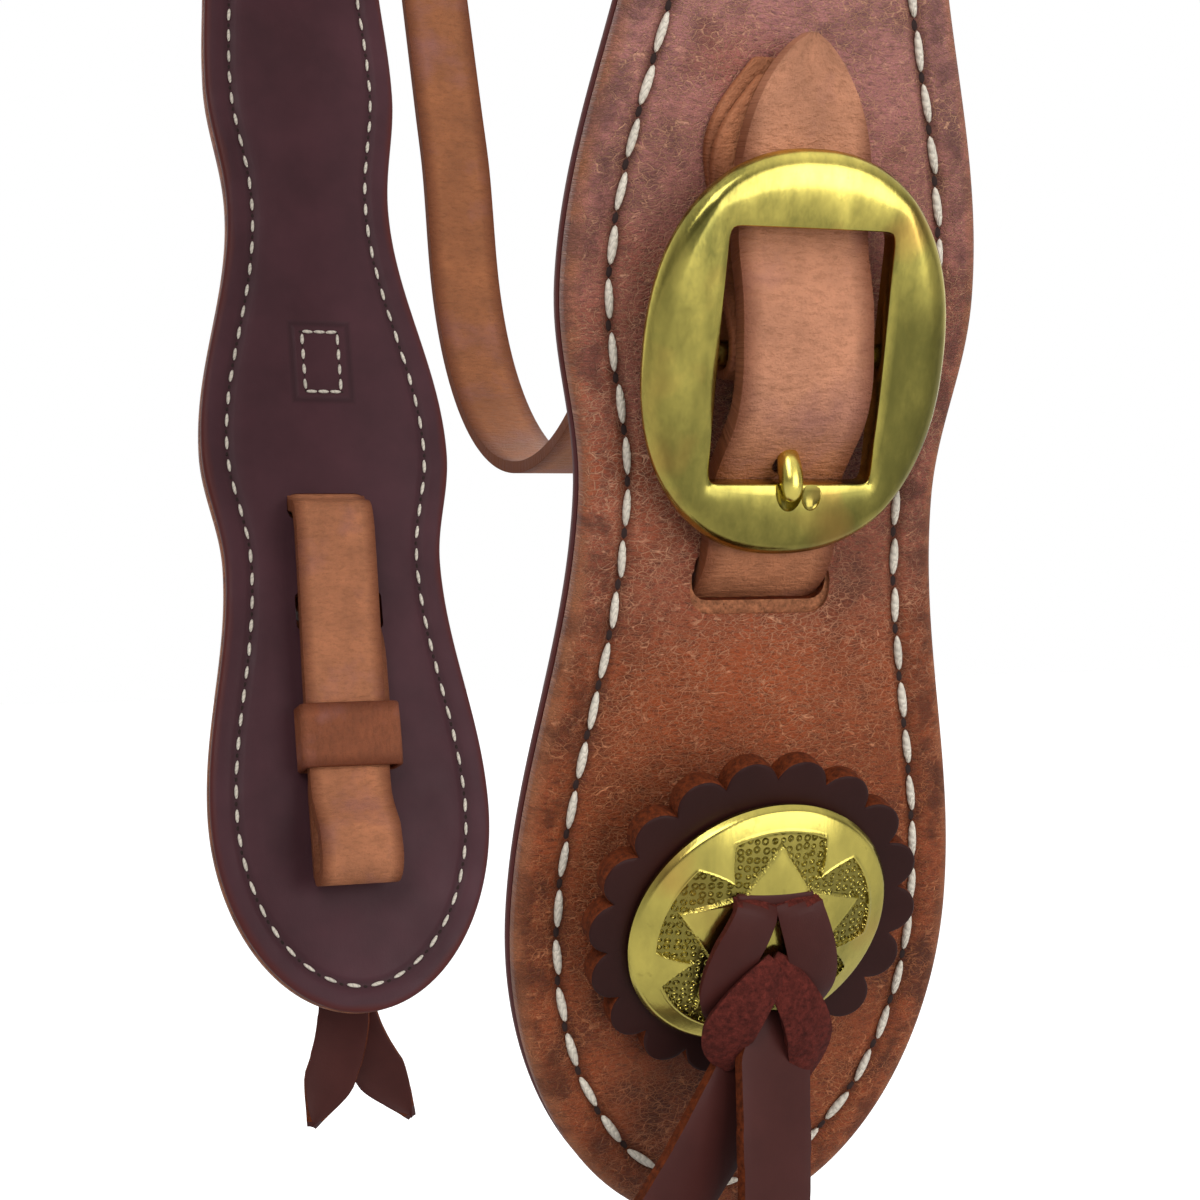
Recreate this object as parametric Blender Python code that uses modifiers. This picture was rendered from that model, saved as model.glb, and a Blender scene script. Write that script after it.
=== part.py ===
"""A western headstall, hung from its crown, with two scalloped, lined cheeks that end in buckled bit straps.

Metres, +Z up. The origin is under the top of the crown. X runs from the horse's nose (-X) to its
neck (+X), and the left cheek is at -Y. Each cheek hangs on a slant line, and its pieces are made in the
cheek's own frame: x across the strap, z up along it, y through it, with the grain side at -y and z = 0
at the billet slot. The right cheek's pieces are mirror copies.
"""

import math

import bmesh
import bpy
from mathutils import Matrix, Vector

# Layers
GAP = 0.0003
FRONT_LEATHER = 0.0030
LINING = 0.0020
STRAP = 0.0024
CHAPE = 0.0013
KEEPER = 0.0012
LACE = 0.0015
CROWN = 0.0040

# How the headstall hangs
CHEEK_SPREAD = 0.209
LEAN = math.radians(12.0)
CROWN_CENTRE = 0.2130
CROWN_WIDTH = 0.038
CROWN_LAP = 0.042
CROWN_FACETS = 27

# Cheek outline: the waves, from the paddle up, as (height, half width)
PADDLE = (-0.0410, 0.0288)
TIP = -0.0816
WAVES = [
    PADDLE,
    (0.0100, 0.0227),
    (0.0345, 0.0262),
    (0.0890, 0.0176),
    (0.1170, 0.0206),
    (0.1500, 0.0190),
    (0.1860, 0.0215),
]
WAVE_STEPS = 7
TIP_STEPS = 11
CORNER = 0.006

# Edge stitching
STITCH_INSET = 0.0052
THREAD_STEP = 0.0112
THREAD_R = 0.00045
THREAD_LIFT = 0.0001

# Buckle
BUCKLE_Z = 0.0275
BUCKLE_WIDE = 0.0380
BUCKLE_TALL = 0.0470
BUCKLE_THICK = 0.0032
WINDOW_WIDE = 0.0200
WINDOW_TALL = 0.0290
BAR_R = 0.0015
TONGUE_R = 0.0012
TONGUE_RING_WIDE = 0.0034
NOTCH_DEEP = 0.0008

# Bit strap and its keeper
STRAP_WIDE = 0.0159
SLOT_LONG = 0.0172
LOOP_BOTTOM = -0.0570
LOOP_R = 0.0031
KEEPER_Z = -0.0270
KEEPER_TALL = 0.0130
KEEPER_WIDE = 0.0206
STRAP_TOP = 0.0630
STRAP_POINT = 0.0130
CHAPE_TOP = 0.0590
CHAPE_WIDE = 0.0159
SKIVED = 0.0010
BOX_STITCH = (0.0080, 0.0136)
BOX_STITCH_Z = 0.0535

# Slots through the layers, as (middle height, height), and the pocket that holds the bit strap's skived end
BILLET_SLOT = (0.0024, 0.0124)
LINING_SLOT = (0.0200, 0.0130)
POCKET_LOW = 0.0140
POCKET_TOP = 0.0585

# Rosette, concho and tie
TIE_Z = -0.0390
LACE_STEP = 0.0042
TIE_TILT = math.radians(12)
ROSETTE_R = 0.0212
ROSETTE_LOBES = 18
ROSETTE_THICK = 0.0030
CONCHO_R = 0.0172
CONCHO_DOME = 0.0032
CONCHO_SHEET = 0.0012
LACE_WIDE = 0.0098
TAIL_LONG = 0.0430

# Browband: a sewn loop round each cheek top, and the band between them
BROW_Z = 0.1580
BROW_WIDE = 0.0220
BROW_THICK = 0.0026
BROW_HALF = 0.0208
BROW_REACH = 0.1040
# The bends of half the band, as shares of its reach forwards and of the cheeks' distance from the middle
BROW_BENDS = [(0.3846, 0.9854), (0.6731, 0.8253), (0.9038, 0.5097), (1.0, 0.1820)]

# Throatlatch, inside the cheeks: a long strap from the right that buckles to a short one on the left
THROAT_X = 0.0125
THROAT_WIDE = 0.0127
THROAT_THICK = 0.0020
THROAT_LOW = 0.0220
THROAT_R = 0.0520
THROAT_TURN_Z = 0.0760
THROAT_FACETS = (6, 10)
THROAT_BAR_R = 0.0011
THROAT_TONGUE_R = 0.0008
THROAT_FRAME = (0.0190, 0.0175, 0.0020)
THROAT_WINDOW = (0.0142, 0.0127)
THROAT_KEEPER_UP = 0.0120
THROAT_KEEPER_TALL = 0.0060
THROAT_BUCKLE_Z = 0.1900

# Places in a cheek's frame that follow from the layers (y grows towards the lining)
GRAIN_Y = -FRONT_LEATHER - GAP / 2
FLESH_Y = LINING + GAP / 2
INNER_Y = FLESH_Y + 2 * GAP + KEEPER + STRAP / 2
OUTER_Y = INNER_Y + STRAP + GAP
FRONT_Y = GRAIN_Y - GAP - STRAP / 2
CHAPE_LOW_Y = GRAIN_Y - GAP - CHAPE / 2
BAR_Y = GRAIN_Y - 2 * GAP - CHAPE - BAR_R
CHAPE_TOP_Y = CHAPE_LOW_Y - CHAPE - GAP
BILLET_TOP_Y = CHAPE_TOP_Y - CHAPE / 2 - GAP - STRAP / 2
BILLET_BAR_Y = BAR_Y - BAR_R - 2 * GAP - CHAPE - STRAP / 2
SKIVED_Y = -GAP / 2 - SKIVED / 2 - 0.0001
STRAIGHT_LOW = KEEPER_Z - 0.0130
KNOT_Y = -(ROSETTE_THICK + CONCHO_SHEET + CONCHO_DOME + 2 * GAP)
CROWN_FACE_Y = FLESH_Y + GAP
CROWN_BACK_Y = CROWN_FACE_Y + CROWN
THROAT_Y = CROWN_BACK_Y + GAP + THROAT_THICK / 2

# The crown's arc, and how far below the place it hangs from the billet slots lie
ARC_R = CHEEK_SPREAD / 2 * math.cos(LEAN) + CROWN_CENTRE * math.sin(LEAN)
CROWN_SWEEP = math.pi + 2 * LEAN
SLOT_Z = -(CROWN_CENTRE + (ARC_R - CROWN_BACK_Y) * math.cos(CROWN_SWEEP / CROWN_FACETS / 2))

PLUM = (0.070, 0.028, 0.032)
RUSSET = (0.240, 0.060, 0.022)
TAN = (0.340, 0.135, 0.055)
THREAD = (0.780, 0.740, 0.650)
BRASS = (0.780, 0.560, 0.120)


def clear_scene():
    for obj in list(bpy.data.objects):
        bpy.data.objects.remove(obj, do_unlink=True)


def collection(name, hidden=False):
    group = bpy.data.collections.new(name)
    bpy.context.scene.collection.children.link(group)
    group.hide_render = hidden
    return group


def material(name, colour, roughness, metallic=0.0):
    made = bpy.data.materials.new(name)
    made.use_nodes = True
    shader = made.node_tree.nodes["Principled BSDF"]
    shader.inputs["Base Color"].default_value = (*colour, 1.0)
    shader.inputs["Roughness"].default_value = roughness
    shader.inputs["Metallic"].default_value = metallic
    return made


def add_mesh(name, bm, group):
    mesh = bpy.data.meshes.new(name)
    bm.to_mesh(mesh)
    bm.free()
    obj = bpy.data.objects.new(name, mesh)
    group.objects.link(obj)
    return obj


def cutter_style(obj):
    obj.hide_render = True
    obj.display_type = "WIRE"
    return obj


def with_origin(obj, place):
    """Puts a moving piece's origin on its joint, without moving the piece."""
    place = Vector(place)
    obj.data.transform(Matrix.Translation(-place))
    obj.location = place
    return obj


def dressed(obj, finish):
    """Gives a finished piece its material and smooth shading with crisp edges."""
    obj.data.materials.clear()
    obj.data.materials.append(finish)
    obj.data.shade_smooth()
    obj.data.set_sharp_from_angle(angle=math.radians(35))
    return obj


def smooth_path(points, steps):
    """A smooth curve through 2D points. Its slope at a point is that of the line between its neighbours."""
    spots = [Vector(point) for point in points]
    ends = [spots[0], *spots, spots[-1]]
    slopes = [(after - before).normalized() for before, after in zip(ends, ends[2:])]
    path = []
    for start, end, out, into in zip(spots, spots[1:], slopes, slopes[1:]):
        reach = (end - start).length
        straight = (end - start).normalized()
        bent = min(out.dot(straight), into.dot(straight)) < 0.9999
        for k in range(steps if bent else 1):
            t = k / steps
            place = (
                start * (2 * t**3 - 3 * t**2 + 1)
                + out * reach * (t**3 - 2 * t**2 + t)
                + end * (3 * t**2 - 2 * t**3)
                + into * reach * (t**3 - t**2)
            )
            path.append(tuple(place))
    path.append(tuple(spots[-1]))
    return path


def ribbon_outline(path, half):
    """The closed outline of a strip along a 2D path. half is its half thickness, or one value a point."""
    halves = half if isinstance(half, list) else [half] * len(path)
    one, other = [], []
    for k, (x, z) in enumerate(path):
        before = Vector(path[max(k - 1, 0)])
        after = Vector(path[min(k + 1, len(path) - 1)])
        along = (after - before).normalized()
        across = Vector((-along.y, along.x)) * halves[k]
        one.append((x + across.x, z + across.y))
        other.append((x - across.x, z - across.y))
    return one + other[::-1]


def arc(centre, radius, start, end, steps):
    """Points on an arc about a 2D centre, angles in radians."""
    return [
        (
            centre[0] + radius * math.cos(start + (end - start) * k / steps),
            centre[1] + radius * math.sin(start + (end - start) * k / steps),
        )
        for k in range(steps + 1)
    ]


def extruded(name, outline, depth, group, matrix=None):
    """A flat 2D outline made a solid of this depth, centred on its plane, as a mesh."""
    curve = bpy.data.curves.new(name, "CURVE")
    curve.dimensions = "2D"
    curve.fill_mode = "BOTH"
    curve.extrude = depth / 2
    spline = curve.splines.new("POLY")
    spline.points.add(len(outline) - 1)
    for point, (x, y) in zip(spline.points, outline):
        point.co = (x, y, 0.0, 1.0)
    spline.use_cyclic_u = True
    guide = bpy.data.objects.new(name + "_outline", curve)
    group.objects.link(guide)
    obj = meshed(guide, name, group)
    if matrix is not None:
        obj.data.transform(matrix)
    return obj


def meshed(guide, name, group):
    """A curve object made a welded mesh object."""
    graph = bpy.context.evaluated_depsgraph_get()
    mesh = bpy.data.meshes.new_from_object(guide.evaluated_get(graph))
    mesh.transform(guide.matrix_world)
    bpy.data.objects.remove(guide, do_unlink=True)
    bm = bmesh.new()
    bm.from_mesh(mesh)
    bmesh.ops.remove_doubles(bm, verts=bm.verts, dist=0.00001)
    bmesh.ops.recalc_face_normals(bm, faces=bm.faces)
    bm.to_mesh(mesh)
    bm.free()
    mesh.name = name
    obj = bpy.data.objects.new(name, mesh)
    group.objects.link(obj)
    return obj


def tube(name, points, radius, group, sides=2, closed=False):
    """A round bar along 3D points, with filled ends unless it is closed on itself."""
    curve = bpy.data.curves.new(name, "CURVE")
    curve.dimensions = "3D"
    curve.bevel_depth = radius
    curve.bevel_resolution = sides
    curve.use_fill_caps = True
    spline = curve.splines.new("POLY")
    spline.points.add(len(points) - 1)
    for point, place in zip(spline.points, points):
        point.co = (*place, 1.0)
    spline.use_cyclic_u = closed
    guide = bpy.data.objects.new(name + "_line", curve)
    group.objects.link(guide)
    return meshed(guide, name, group)


def box(name, size, centre, group):
    bm = bmesh.new()
    bmesh.ops.create_cube(bm, size=1.0, matrix=Matrix.Translation(centre) @ Matrix.Diagonal((*size, 1.0)))
    return add_mesh(name, bm, group)


def drum(name, radius, length, matrix, group, segments=20):
    bm = bmesh.new()
    bmesh.ops.create_cone(
        bm, cap_ends=True, segments=segments, radius1=radius, radius2=radius, depth=length, matrix=matrix
    )
    return add_mesh(name, bm, group)


def boolean(target, tool, operation):
    """Joins or cuts with another object, applied at once."""
    modifier = target.modifiers.new(operation.lower(), "BOOLEAN")
    modifier.operation = operation
    modifier.object = tool
    graph = bpy.context.evaluated_depsgraph_get()
    mesh = bpy.data.meshes.new_from_object(target.evaluated_get(graph))
    target.modifiers.remove(modifier)
    target.data = mesh
    cutter_style(tool)
    return target


FACE_ON = Matrix(((1, 0, 0, 0), (0, 0, -1, 0), (0, 1, 0, 0), (0, 0, 0, 1)))
SIDE_ON = Matrix(((0, 0, 1, 0), (1, 0, 0, 0), (0, 1, 0, 0), (0, 0, 0, 1)))


def plate(name, outline, y_low, y_high, group):
    """An outline in a cheek's x and z, as a sheet between two y places."""
    lift = Matrix.Translation((0, (y_low + y_high) / 2, 0))
    return extruded(name, outline, y_high - y_low, group, lift @ FACE_ON)


def side_profile(name, outline, width, group):
    """An outline in a cheek's y and z, as a strip of this width across x."""
    return extruded(name, outline, width, group, SIDE_ON)


def rounded_slot(length, height, centre_z=0.0, steps=3):
    """A slot's outline with rounded corners, in x and z."""
    r = min(0.0012, height / 2 - 0.0001)
    points = []
    for cx, cz, turn in ((1, 1, 0), (-1, 1, 1), (-1, -1, 2), (1, -1, 3)):
        corner = (cx * (length / 2 - r), centre_z + cz * (height / 2 - r))
        points += arc(corner, r, turn * math.pi / 2, (turn + 1) * math.pi / 2, steps)
    return points


def cheek_half_width(z):
    """The cheek's half width at a height: an ellipse below the paddle's widest line, eased waves above it."""
    if z <= PADDLE[0]:
        share = min((PADDLE[0] - z) / (PADDLE[0] - TIP), 1.0)
        return PADDLE[1] * math.sqrt(1 - share * share)
    for (z0, w0), (z1, w1) in zip(WAVES, WAVES[1:]):
        if z <= z1:
            ease = 0.5 - 0.5 * math.cos(math.pi * (z - z0) / (z1 - z0))
            return w0 + (w1 - w0) * ease
    return WAVES[-1][1]


def cheek_side(inset=0.0):
    """Right-hand edge points from the tip's middle up to the top corner, each moved in by the inset."""
    edge = []
    for k in range(TIP_STEPS + 1):
        turn = -math.pi / 2 + math.pi / 2 * k / TIP_STEPS
        drop = PADDLE[0] - TIP
        edge.append((PADDLE[1] * math.cos(turn), PADDLE[0] + drop * math.sin(turn)))
    for (z0, _), (z1, _) in zip(WAVES, WAVES[1:]):
        for k in range(1, WAVE_STEPS + 1):
            z = z0 + (z1 - z0) * k / WAVE_STEPS
            edge.append((cheek_half_width(z), z))
    if not inset:
        return edge
    moved = []
    for k, (x, z) in enumerate(edge):
        a = Vector(edge[max(k - 1, 0)])
        b = Vector(edge[min(k + 1, len(edge) - 1)])
        along = (b - a).normalized()
        moved.append((x - along.y * inset, z + along.x * inset))
    return moved


def cheek_outline():
    side = cheek_side()[:-1]
    x, z = WAVES[-1][1], WAVES[-1][0]
    corner = arc((x - CORNER, z - CORNER), CORNER, 0, math.pi / 2, 4)
    right = [p for p in side if p[1] < z - CORNER] + corner
    left = [(-x, z) for x, z in reversed(right)]
    return right + left[:-1]


def evenly_spaced(line, pitch):
    """Places along a closed line of points, one each pitch."""
    line = [Vector(point) for point in line + line[:1]]
    lengths = [0.0]
    for a, b in zip(line, line[1:]):
        lengths.append(lengths[-1] + (b - a).length)
    count = round(lengths[-1] / pitch)
    places = []
    for k in range(count):
        want = k * lengths[-1] / count
        i = max(j for j in range(len(lengths) - 1) if lengths[j] <= want)
        share = (want - lengths[i]) / (lengths[i + 1] - lengths[i])
        places.append(tuple(line[i].lerp(line[i + 1], share)))
    return places


def thread_loop(name, line, y_seat, outward, group):
    """A closed run of thread lying on a surface, along places in x and z."""
    y = y_seat + outward * (THREAD_R + THREAD_LIFT)
    return tube(name, [(x, y, z) for x, z in line], THREAD_R, group, sides=0, closed=True)


def closed_stitch_line(inset, top):
    right = [p for p in cheek_side(inset) if p[0] > 0 and p[1] < top]
    left = [(-x, z) for x, z in reversed(right)]
    return left + right


def tilt_at(z, y, angle):
    """Turns a piece about the line across the strap at this place."""
    return Matrix.Translation((0, y, z)) @ Matrix.Rotation(angle, 4, "X")


def cut_strap_slots(obj, slots, tools):
    """Slots for the bit strap through a layer of the cheek."""
    for z, height in slots:
        tool = plate("strap_slot_tool", rounded_slot(SLOT_LONG, height, z), -0.01, 0.01, tools)
        boolean(obj, tool, "DIFFERENCE")


def cut_lace_slots(obj, height, tools):
    """The two slots that the tie passes through."""
    for sign in (-1, 1):
        outline = rounded_slot(LACE_WIDE + 0.001, height, TIE_Z + sign * LACE_STEP)
        boolean(obj, plate("lace_slot_tool", outline, -0.03, 0.01, tools), "DIFFERENCE")
    return obj


def make_cheek_leather(group, tools):
    obj = plate("cheek_leather", cheek_outline(), GRAIN_Y, -GAP / 2, group)
    cut_strap_slots(obj, [BILLET_SLOT], tools)
    pocket = box(
        "pocket_tool",
        (SLOT_LONG, 2 * (SKIVED / 2 + GAP - SKIVED_Y), POCKET_TOP - POCKET_LOW),
        (0, 0, (POCKET_TOP + POCKET_LOW) / 2),
        tools,
    )
    boolean(obj, pocket, "DIFFERENCE")
    return cut_lace_slots(obj, LACE + 0.0014, tools)


def make_cheek_lining(group, tools):
    obj = plate("cheek_lining", cheek_outline(), GAP / 2, FLESH_Y, group)
    cut_strap_slots(obj, [BILLET_SLOT, LINING_SLOT], tools)
    return cut_lace_slots(obj, LACE + 0.0014, tools)


def strap_path():
    """The bit strap's middle line in y and z, from its sewn end round the loop and out to the front."""
    loop_y = INNER_Y + LOOP_R + STRAP / 2
    loop_z = LOOP_BOTTOM + LOOP_R + STRAP
    down = smooth_path(
        [
            (SKIVED_Y, 0.0560),
            (SKIVED_Y, 0.0310),
            (SKIVED_Y, 0.0280),
            (0.0012, 0.0220),
            (OUTER_Y - 0.0022, 0.0140),
            (OUTER_Y, 0.0060),
            (OUTER_Y, 0.0040),
            (OUTER_Y, STRAIGHT_LOW + 0.0040),
            (OUTER_Y + 0.0004, STRAIGHT_LOW),
            (loop_y + (LOOP_R + STRAP / 2) * 0.84, loop_z + 0.0050),
        ],
        4,
    )
    radius = LOOP_R + STRAP / 2
    turn = arc((loop_y, loop_z), radius, 0, -math.pi, 11)
    up = smooth_path(
        [
            (INNER_Y, STRAIGHT_LOW),
            (INNER_Y, -0.0100),
            (INNER_Y, -0.0090),
            (INNER_Y - 0.0014, -0.0040),
            (0.0, 0.0020),
            (FRONT_Y + 0.0008, 0.0052),
            (FRONT_Y, 0.0110),
            (FRONT_Y - 0.0004, 0.0145),
            (FRONT_Y - 0.0042, 0.0195),
            (BILLET_BAR_Y, BUCKLE_Z - 0.0015),
            (BILLET_BAR_Y + 0.0004, BUCKLE_Z + 0.0040),
            (BILLET_TOP_Y - 0.0003, BUCKLE_Z + 0.0120),
            (BILLET_TOP_Y, BUCKLE_Z + 0.0160),
            (BILLET_TOP_Y, BUCKLE_Z + 0.0170),
            (BILLET_TOP_Y, STRAP_TOP),
        ],
        4,
    )
    return down, turn, up


def make_bit_strap(group, tools):
    down, turn, up = strap_path()
    path = down + turn + up
    halves = []
    for k, (y, z) in enumerate(path):
        skived = k < len(down) and z > 0.0180
        share = min(max((z - 0.0190) / 0.0060, 0.0), 1.0) if skived else 0.0
        halves.append((STRAP + (SKIVED - STRAP) * share) / 2)
    obj = side_profile("bit_strap", ribbon_outline(path, halves), STRAP_WIDE, group)
    curved = [
        (STRAP_WIDE / 2 * math.cos(a), STRAP_TOP - STRAP_POINT * (1 - math.sin(a) * 0.96))
        for a in (0.95, 0.6, 0.3, 0.0)
    ]
    right = [*curved, (STRAP_WIDE, STRAP_TOP - STRAP_POINT), (STRAP_WIDE, STRAP_TOP + 0.01)]
    point = [(0.0, STRAP_TOP - 0.0004), *right, *[(-x, z) for x, z in reversed(right)]]
    trim = plate("point_tool", point, BILLET_TOP_Y - 0.003, BILLET_TOP_Y + 0.0019, tools)
    boolean(obj, trim, "DIFFERENCE")
    hole = plate("hole_tool", rounded_slot(0.0040, 0.0156, BUCKLE_Z - 0.0070), -0.02, FRONT_Y + 0.002, tools)
    boolean(obj, hole, "DIFFERENCE")
    return obj


def make_keeper(group, tools):
    y_low = INNER_Y - STRAP / 2 - GAP - KEEPER
    y_high = OUTER_Y + STRAP / 2 + GAP + KEEPER
    middle = (y_low + y_high) / 2
    deep = y_high - y_low
    ring = []
    for cx, cy, turn in ((1, 1, 0), (-1, 1, 1), (-1, -1, 2), (1, -1, 3)):
        r = 0.0016
        corner = (cx * (KEEPER_WIDE / 2 - r), middle + cy * (deep / 2 - r))
        ring += arc(corner, r, turn * math.pi / 2, (turn + 1) * math.pi / 2, 4)
    lie = Matrix.Translation((0, 0, KEEPER_Z))
    obj = extruded("strap_keeper", ring, KEEPER_TALL, group, lie)
    inside = (KEEPER_WIDE - 2 * KEEPER, deep - 2 * KEEPER, KEEPER_TALL * 2)
    boolean(obj, box("keeper_tool", inside, (0, middle, KEEPER_Z), tools), "DIFFERENCE")
    return with_origin(obj, (0, middle, KEEPER_Z))


def buckle_tilt():
    """The frame's slope: its bottom rim lies on the billet and its top rim on the chape and billet."""
    low = FRONT_Y - STRAP / 2 - GAP
    high = BILLET_TOP_Y - STRAP / 2 - GAP
    return math.atan2(low - high, BUCKLE_TALL - 0.009)


def buckle_place():
    low = FRONT_Y - STRAP / 2 - GAP
    high = BILLET_TOP_Y - STRAP / 2 - GAP
    return tilt_at(BUCKLE_Z, (low + high) / 2 - BUCKLE_THICK / 2 - 0.0002, buckle_tilt())


def make_buckle_frame(group, tools):
    oval = [
        (BUCKLE_WIDE / 2 * math.copysign(abs(math.cos(a)) ** 0.88, math.cos(a)),
         BUCKLE_TALL / 2 * math.copysign(abs(math.sin(a)) ** 0.88, math.sin(a)))
        for a in (2 * math.pi * k / 40 for k in range(40))
    ]
    obj = plate("buckle_frame", oval, -BUCKLE_THICK / 2, BUCKLE_THICK / 2, group)
    bevel = obj.modifiers.new("round", "BEVEL")
    bevel.width = 0.0011
    bevel.segments = 2
    bevel.limit_method = "ANGLE"
    bevel.angle_limit = math.radians(50)
    window = box("window_tool", (WINDOW_WIDE, 0.02, WINDOW_TALL), (0, 0, 0), tools)
    boolean(obj, window, "DIFFERENCE")
    obj.modifiers.clear()
    notch = drum(
        "notch_tool",
        TONGUE_R + GAP,
        0.014,
        Matrix.Translation((0, -BUCKLE_THICK / 2 + NOTCH_DEEP - TONGUE_R - GAP, -WINDOW_TALL / 2 - 0.004)),
        tools,
    )
    boolean(obj, notch, "DIFFERENCE")
    obj.data.transform(buckle_place())
    bar = drum(
        "bar_tool",
        BAR_R,
        WINDOW_WIDE + 0.007,
        Matrix.Translation((0, BAR_Y, BUCKLE_Z)) @ Matrix.Rotation(math.pi / 2, 4, "Y"),
        tools,
        14,
    )
    boolean(obj, bar, "UNION")
    for sign in (-1, 1):
        x = sign * (WINDOW_WIDE / 2 + 0.0022)
        lug = box("lug_tool", (0.0030, 0.0030, 0.0036), (x, BAR_Y - 0.0005, BUCKLE_Z), tools)
        boolean(obj, lug, "UNION")
    return obj


def make_tongue(group, tools):
    lie = -BUCKLE_THICK / 2 + NOTCH_DEEP - TONGUE_R - GAP
    rim = -WINDOW_TALL / 2
    inside, middle, tip = (buckle_place() @ Vector((0, lie, rim + z)) for z in (0.0014, -0.0034, -0.0062))
    ring_r = BAR_R + GAP + 0.0002
    line = [
        (0, BAR_Y - ring_r, BUCKLE_Z - 0.0002),
        (0, BAR_Y - ring_r - 0.0002, BUCKLE_Z - 0.0035),
        inside,
        middle,
        tip,
    ]
    obj = tube("buckle_tongue", line, TONGUE_R, group)
    across = Matrix.Translation((0, BAR_Y, BUCKLE_Z)) @ Matrix.Rotation(math.pi / 2, 4, "Y")
    ring = drum("ring_tool", BAR_R + GAP + 0.0012, TONGUE_RING_WIDE, across, tools, 18)
    boolean(obj, ring, "UNION")
    eye = drum("eye_tool", BAR_R + GAP, TONGUE_RING_WIDE * 2, across, tools, 18)
    boolean(obj, eye, "DIFFERENCE")
    return with_origin(obj, (0, BAR_Y, BUCKLE_Z))


def make_chape(group, tools):
    r = BAR_R + GAP + CHAPE / 2
    low = [(CHAPE_LOW_Y, CHAPE_TOP), (CHAPE_LOW_Y, BUCKLE_Z + 0.0080), (BAR_Y + r, BUCKLE_Z + 0.0020)]
    turn = arc((BAR_Y, BUCKLE_Z), r, 0, -math.pi, 12)
    high = [
        (BAR_Y - r, BUCKLE_Z + 0.0015),
        (CHAPE_TOP_Y, BUCKLE_Z + 0.0080),
        (CHAPE_TOP_Y, CHAPE_TOP - 0.0012),
    ]
    path = low + turn + high
    obj = side_profile("buckle_chape", ribbon_outline(path, CHAPE / 2), CHAPE_WIDE, group)
    slot = box("tongue_room", (TONGUE_RING_WIDE + 0.0012, 0.02, 0.0110), (0, BAR_Y, BUCKLE_Z - 0.0022), tools)
    return boolean(obj, slot, "DIFFERENCE")


def make_box_stitching(group):
    """The small sewn rectangle on the lining that holds the chape and the strap's end."""
    wide, tall = BOX_STITCH
    line = [
        (sx * wide / 2, BOX_STITCH_Z + sz * tall / 2)
        for sx, sz in ((-1, -1), (1, -1), (1, 1), (-1, 1))
    ]
    return thread_loop("box_stitching", line, FLESH_Y, 1, group)


def make_edge_stitching(group):
    """Thread round the whole grain side, and round the lining as far up as the crown's end."""
    made = []
    for name, top, seat, outward in (
        ("grain_stitching", WAVES[-1][0] - STITCH_INSET, GRAIN_Y, -1),
        ("lining_stitching", WAVES[-1][0] - CROWN_LAP - 0.0010, FLESH_Y, 1),
    ):
        places = evenly_spaced(closed_stitch_line(STITCH_INSET, top), THREAD_STEP)
        made.append(thread_loop(name, places, seat, outward, group))
    return made


def tie_place():
    """Where the rosette sits: its low edge on the leather, tipped forward by the pull of the tie."""
    lift = ROSETTE_R * math.sin(TIE_TILT)
    return tilt_at(TIE_Z, GRAIN_Y - GAP - lift, TIE_TILT)


def make_rosette(group, tools):
    outline = []
    per_lobe = 5
    for k in range(ROSETTE_LOBES * per_lobe):
        a = 2 * math.pi * k / (ROSETTE_LOBES * per_lobe)
        lobe = abs(math.sin(a * ROSETTE_LOBES / 2))
        r = ROSETTE_R - 0.0017 + 0.0017 * lobe
        outline.append((r * math.cos(a), r * math.sin(a)))
    obj = plate("rosette", outline, -ROSETTE_THICK, 0, group)
    obj.data.transform(tie_place())
    return cut_lace_slots(obj, LACE + 0.0012, tools)


def make_concho(group, tools):
    """A turned brass dome with a flat rim, hollow behind."""
    seat = -ROSETTE_THICK - GAP
    steps = 5
    profile = []
    for k in range(steps + 1):
        share = k / steps
        profile.append((CONCHO_R * share, seat - CONCHO_SHEET - CONCHO_DOME * (1 - share**2.2)))
    for k in range(steps, -1, -1):
        share = k / steps
        profile.append((CONCHO_R * share, seat - CONCHO_DOME * 0.9 * (1 - share**2.2)))
    bm = bmesh.new()
    verts = [bm.verts.new((x, y, 0)) for x, y in profile]
    edges = [bm.edges.new(pair) for pair in zip(verts, verts[1:])]
    bmesh.ops.spin(
        bm, geom=verts + edges, axis=(0, 1, 0), cent=(0, 0, 0), steps=28, angle=2 * math.pi, use_merge=True
    )
    bmesh.ops.remove_doubles(bm, verts=bm.verts, dist=0.00001)
    bmesh.ops.recalc_face_normals(bm, faces=bm.faces)
    obj = add_mesh("concho", bm, group)
    obj.data.transform(tie_place())
    return cut_lace_slots(obj, LACE + 0.0012, tools)


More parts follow.
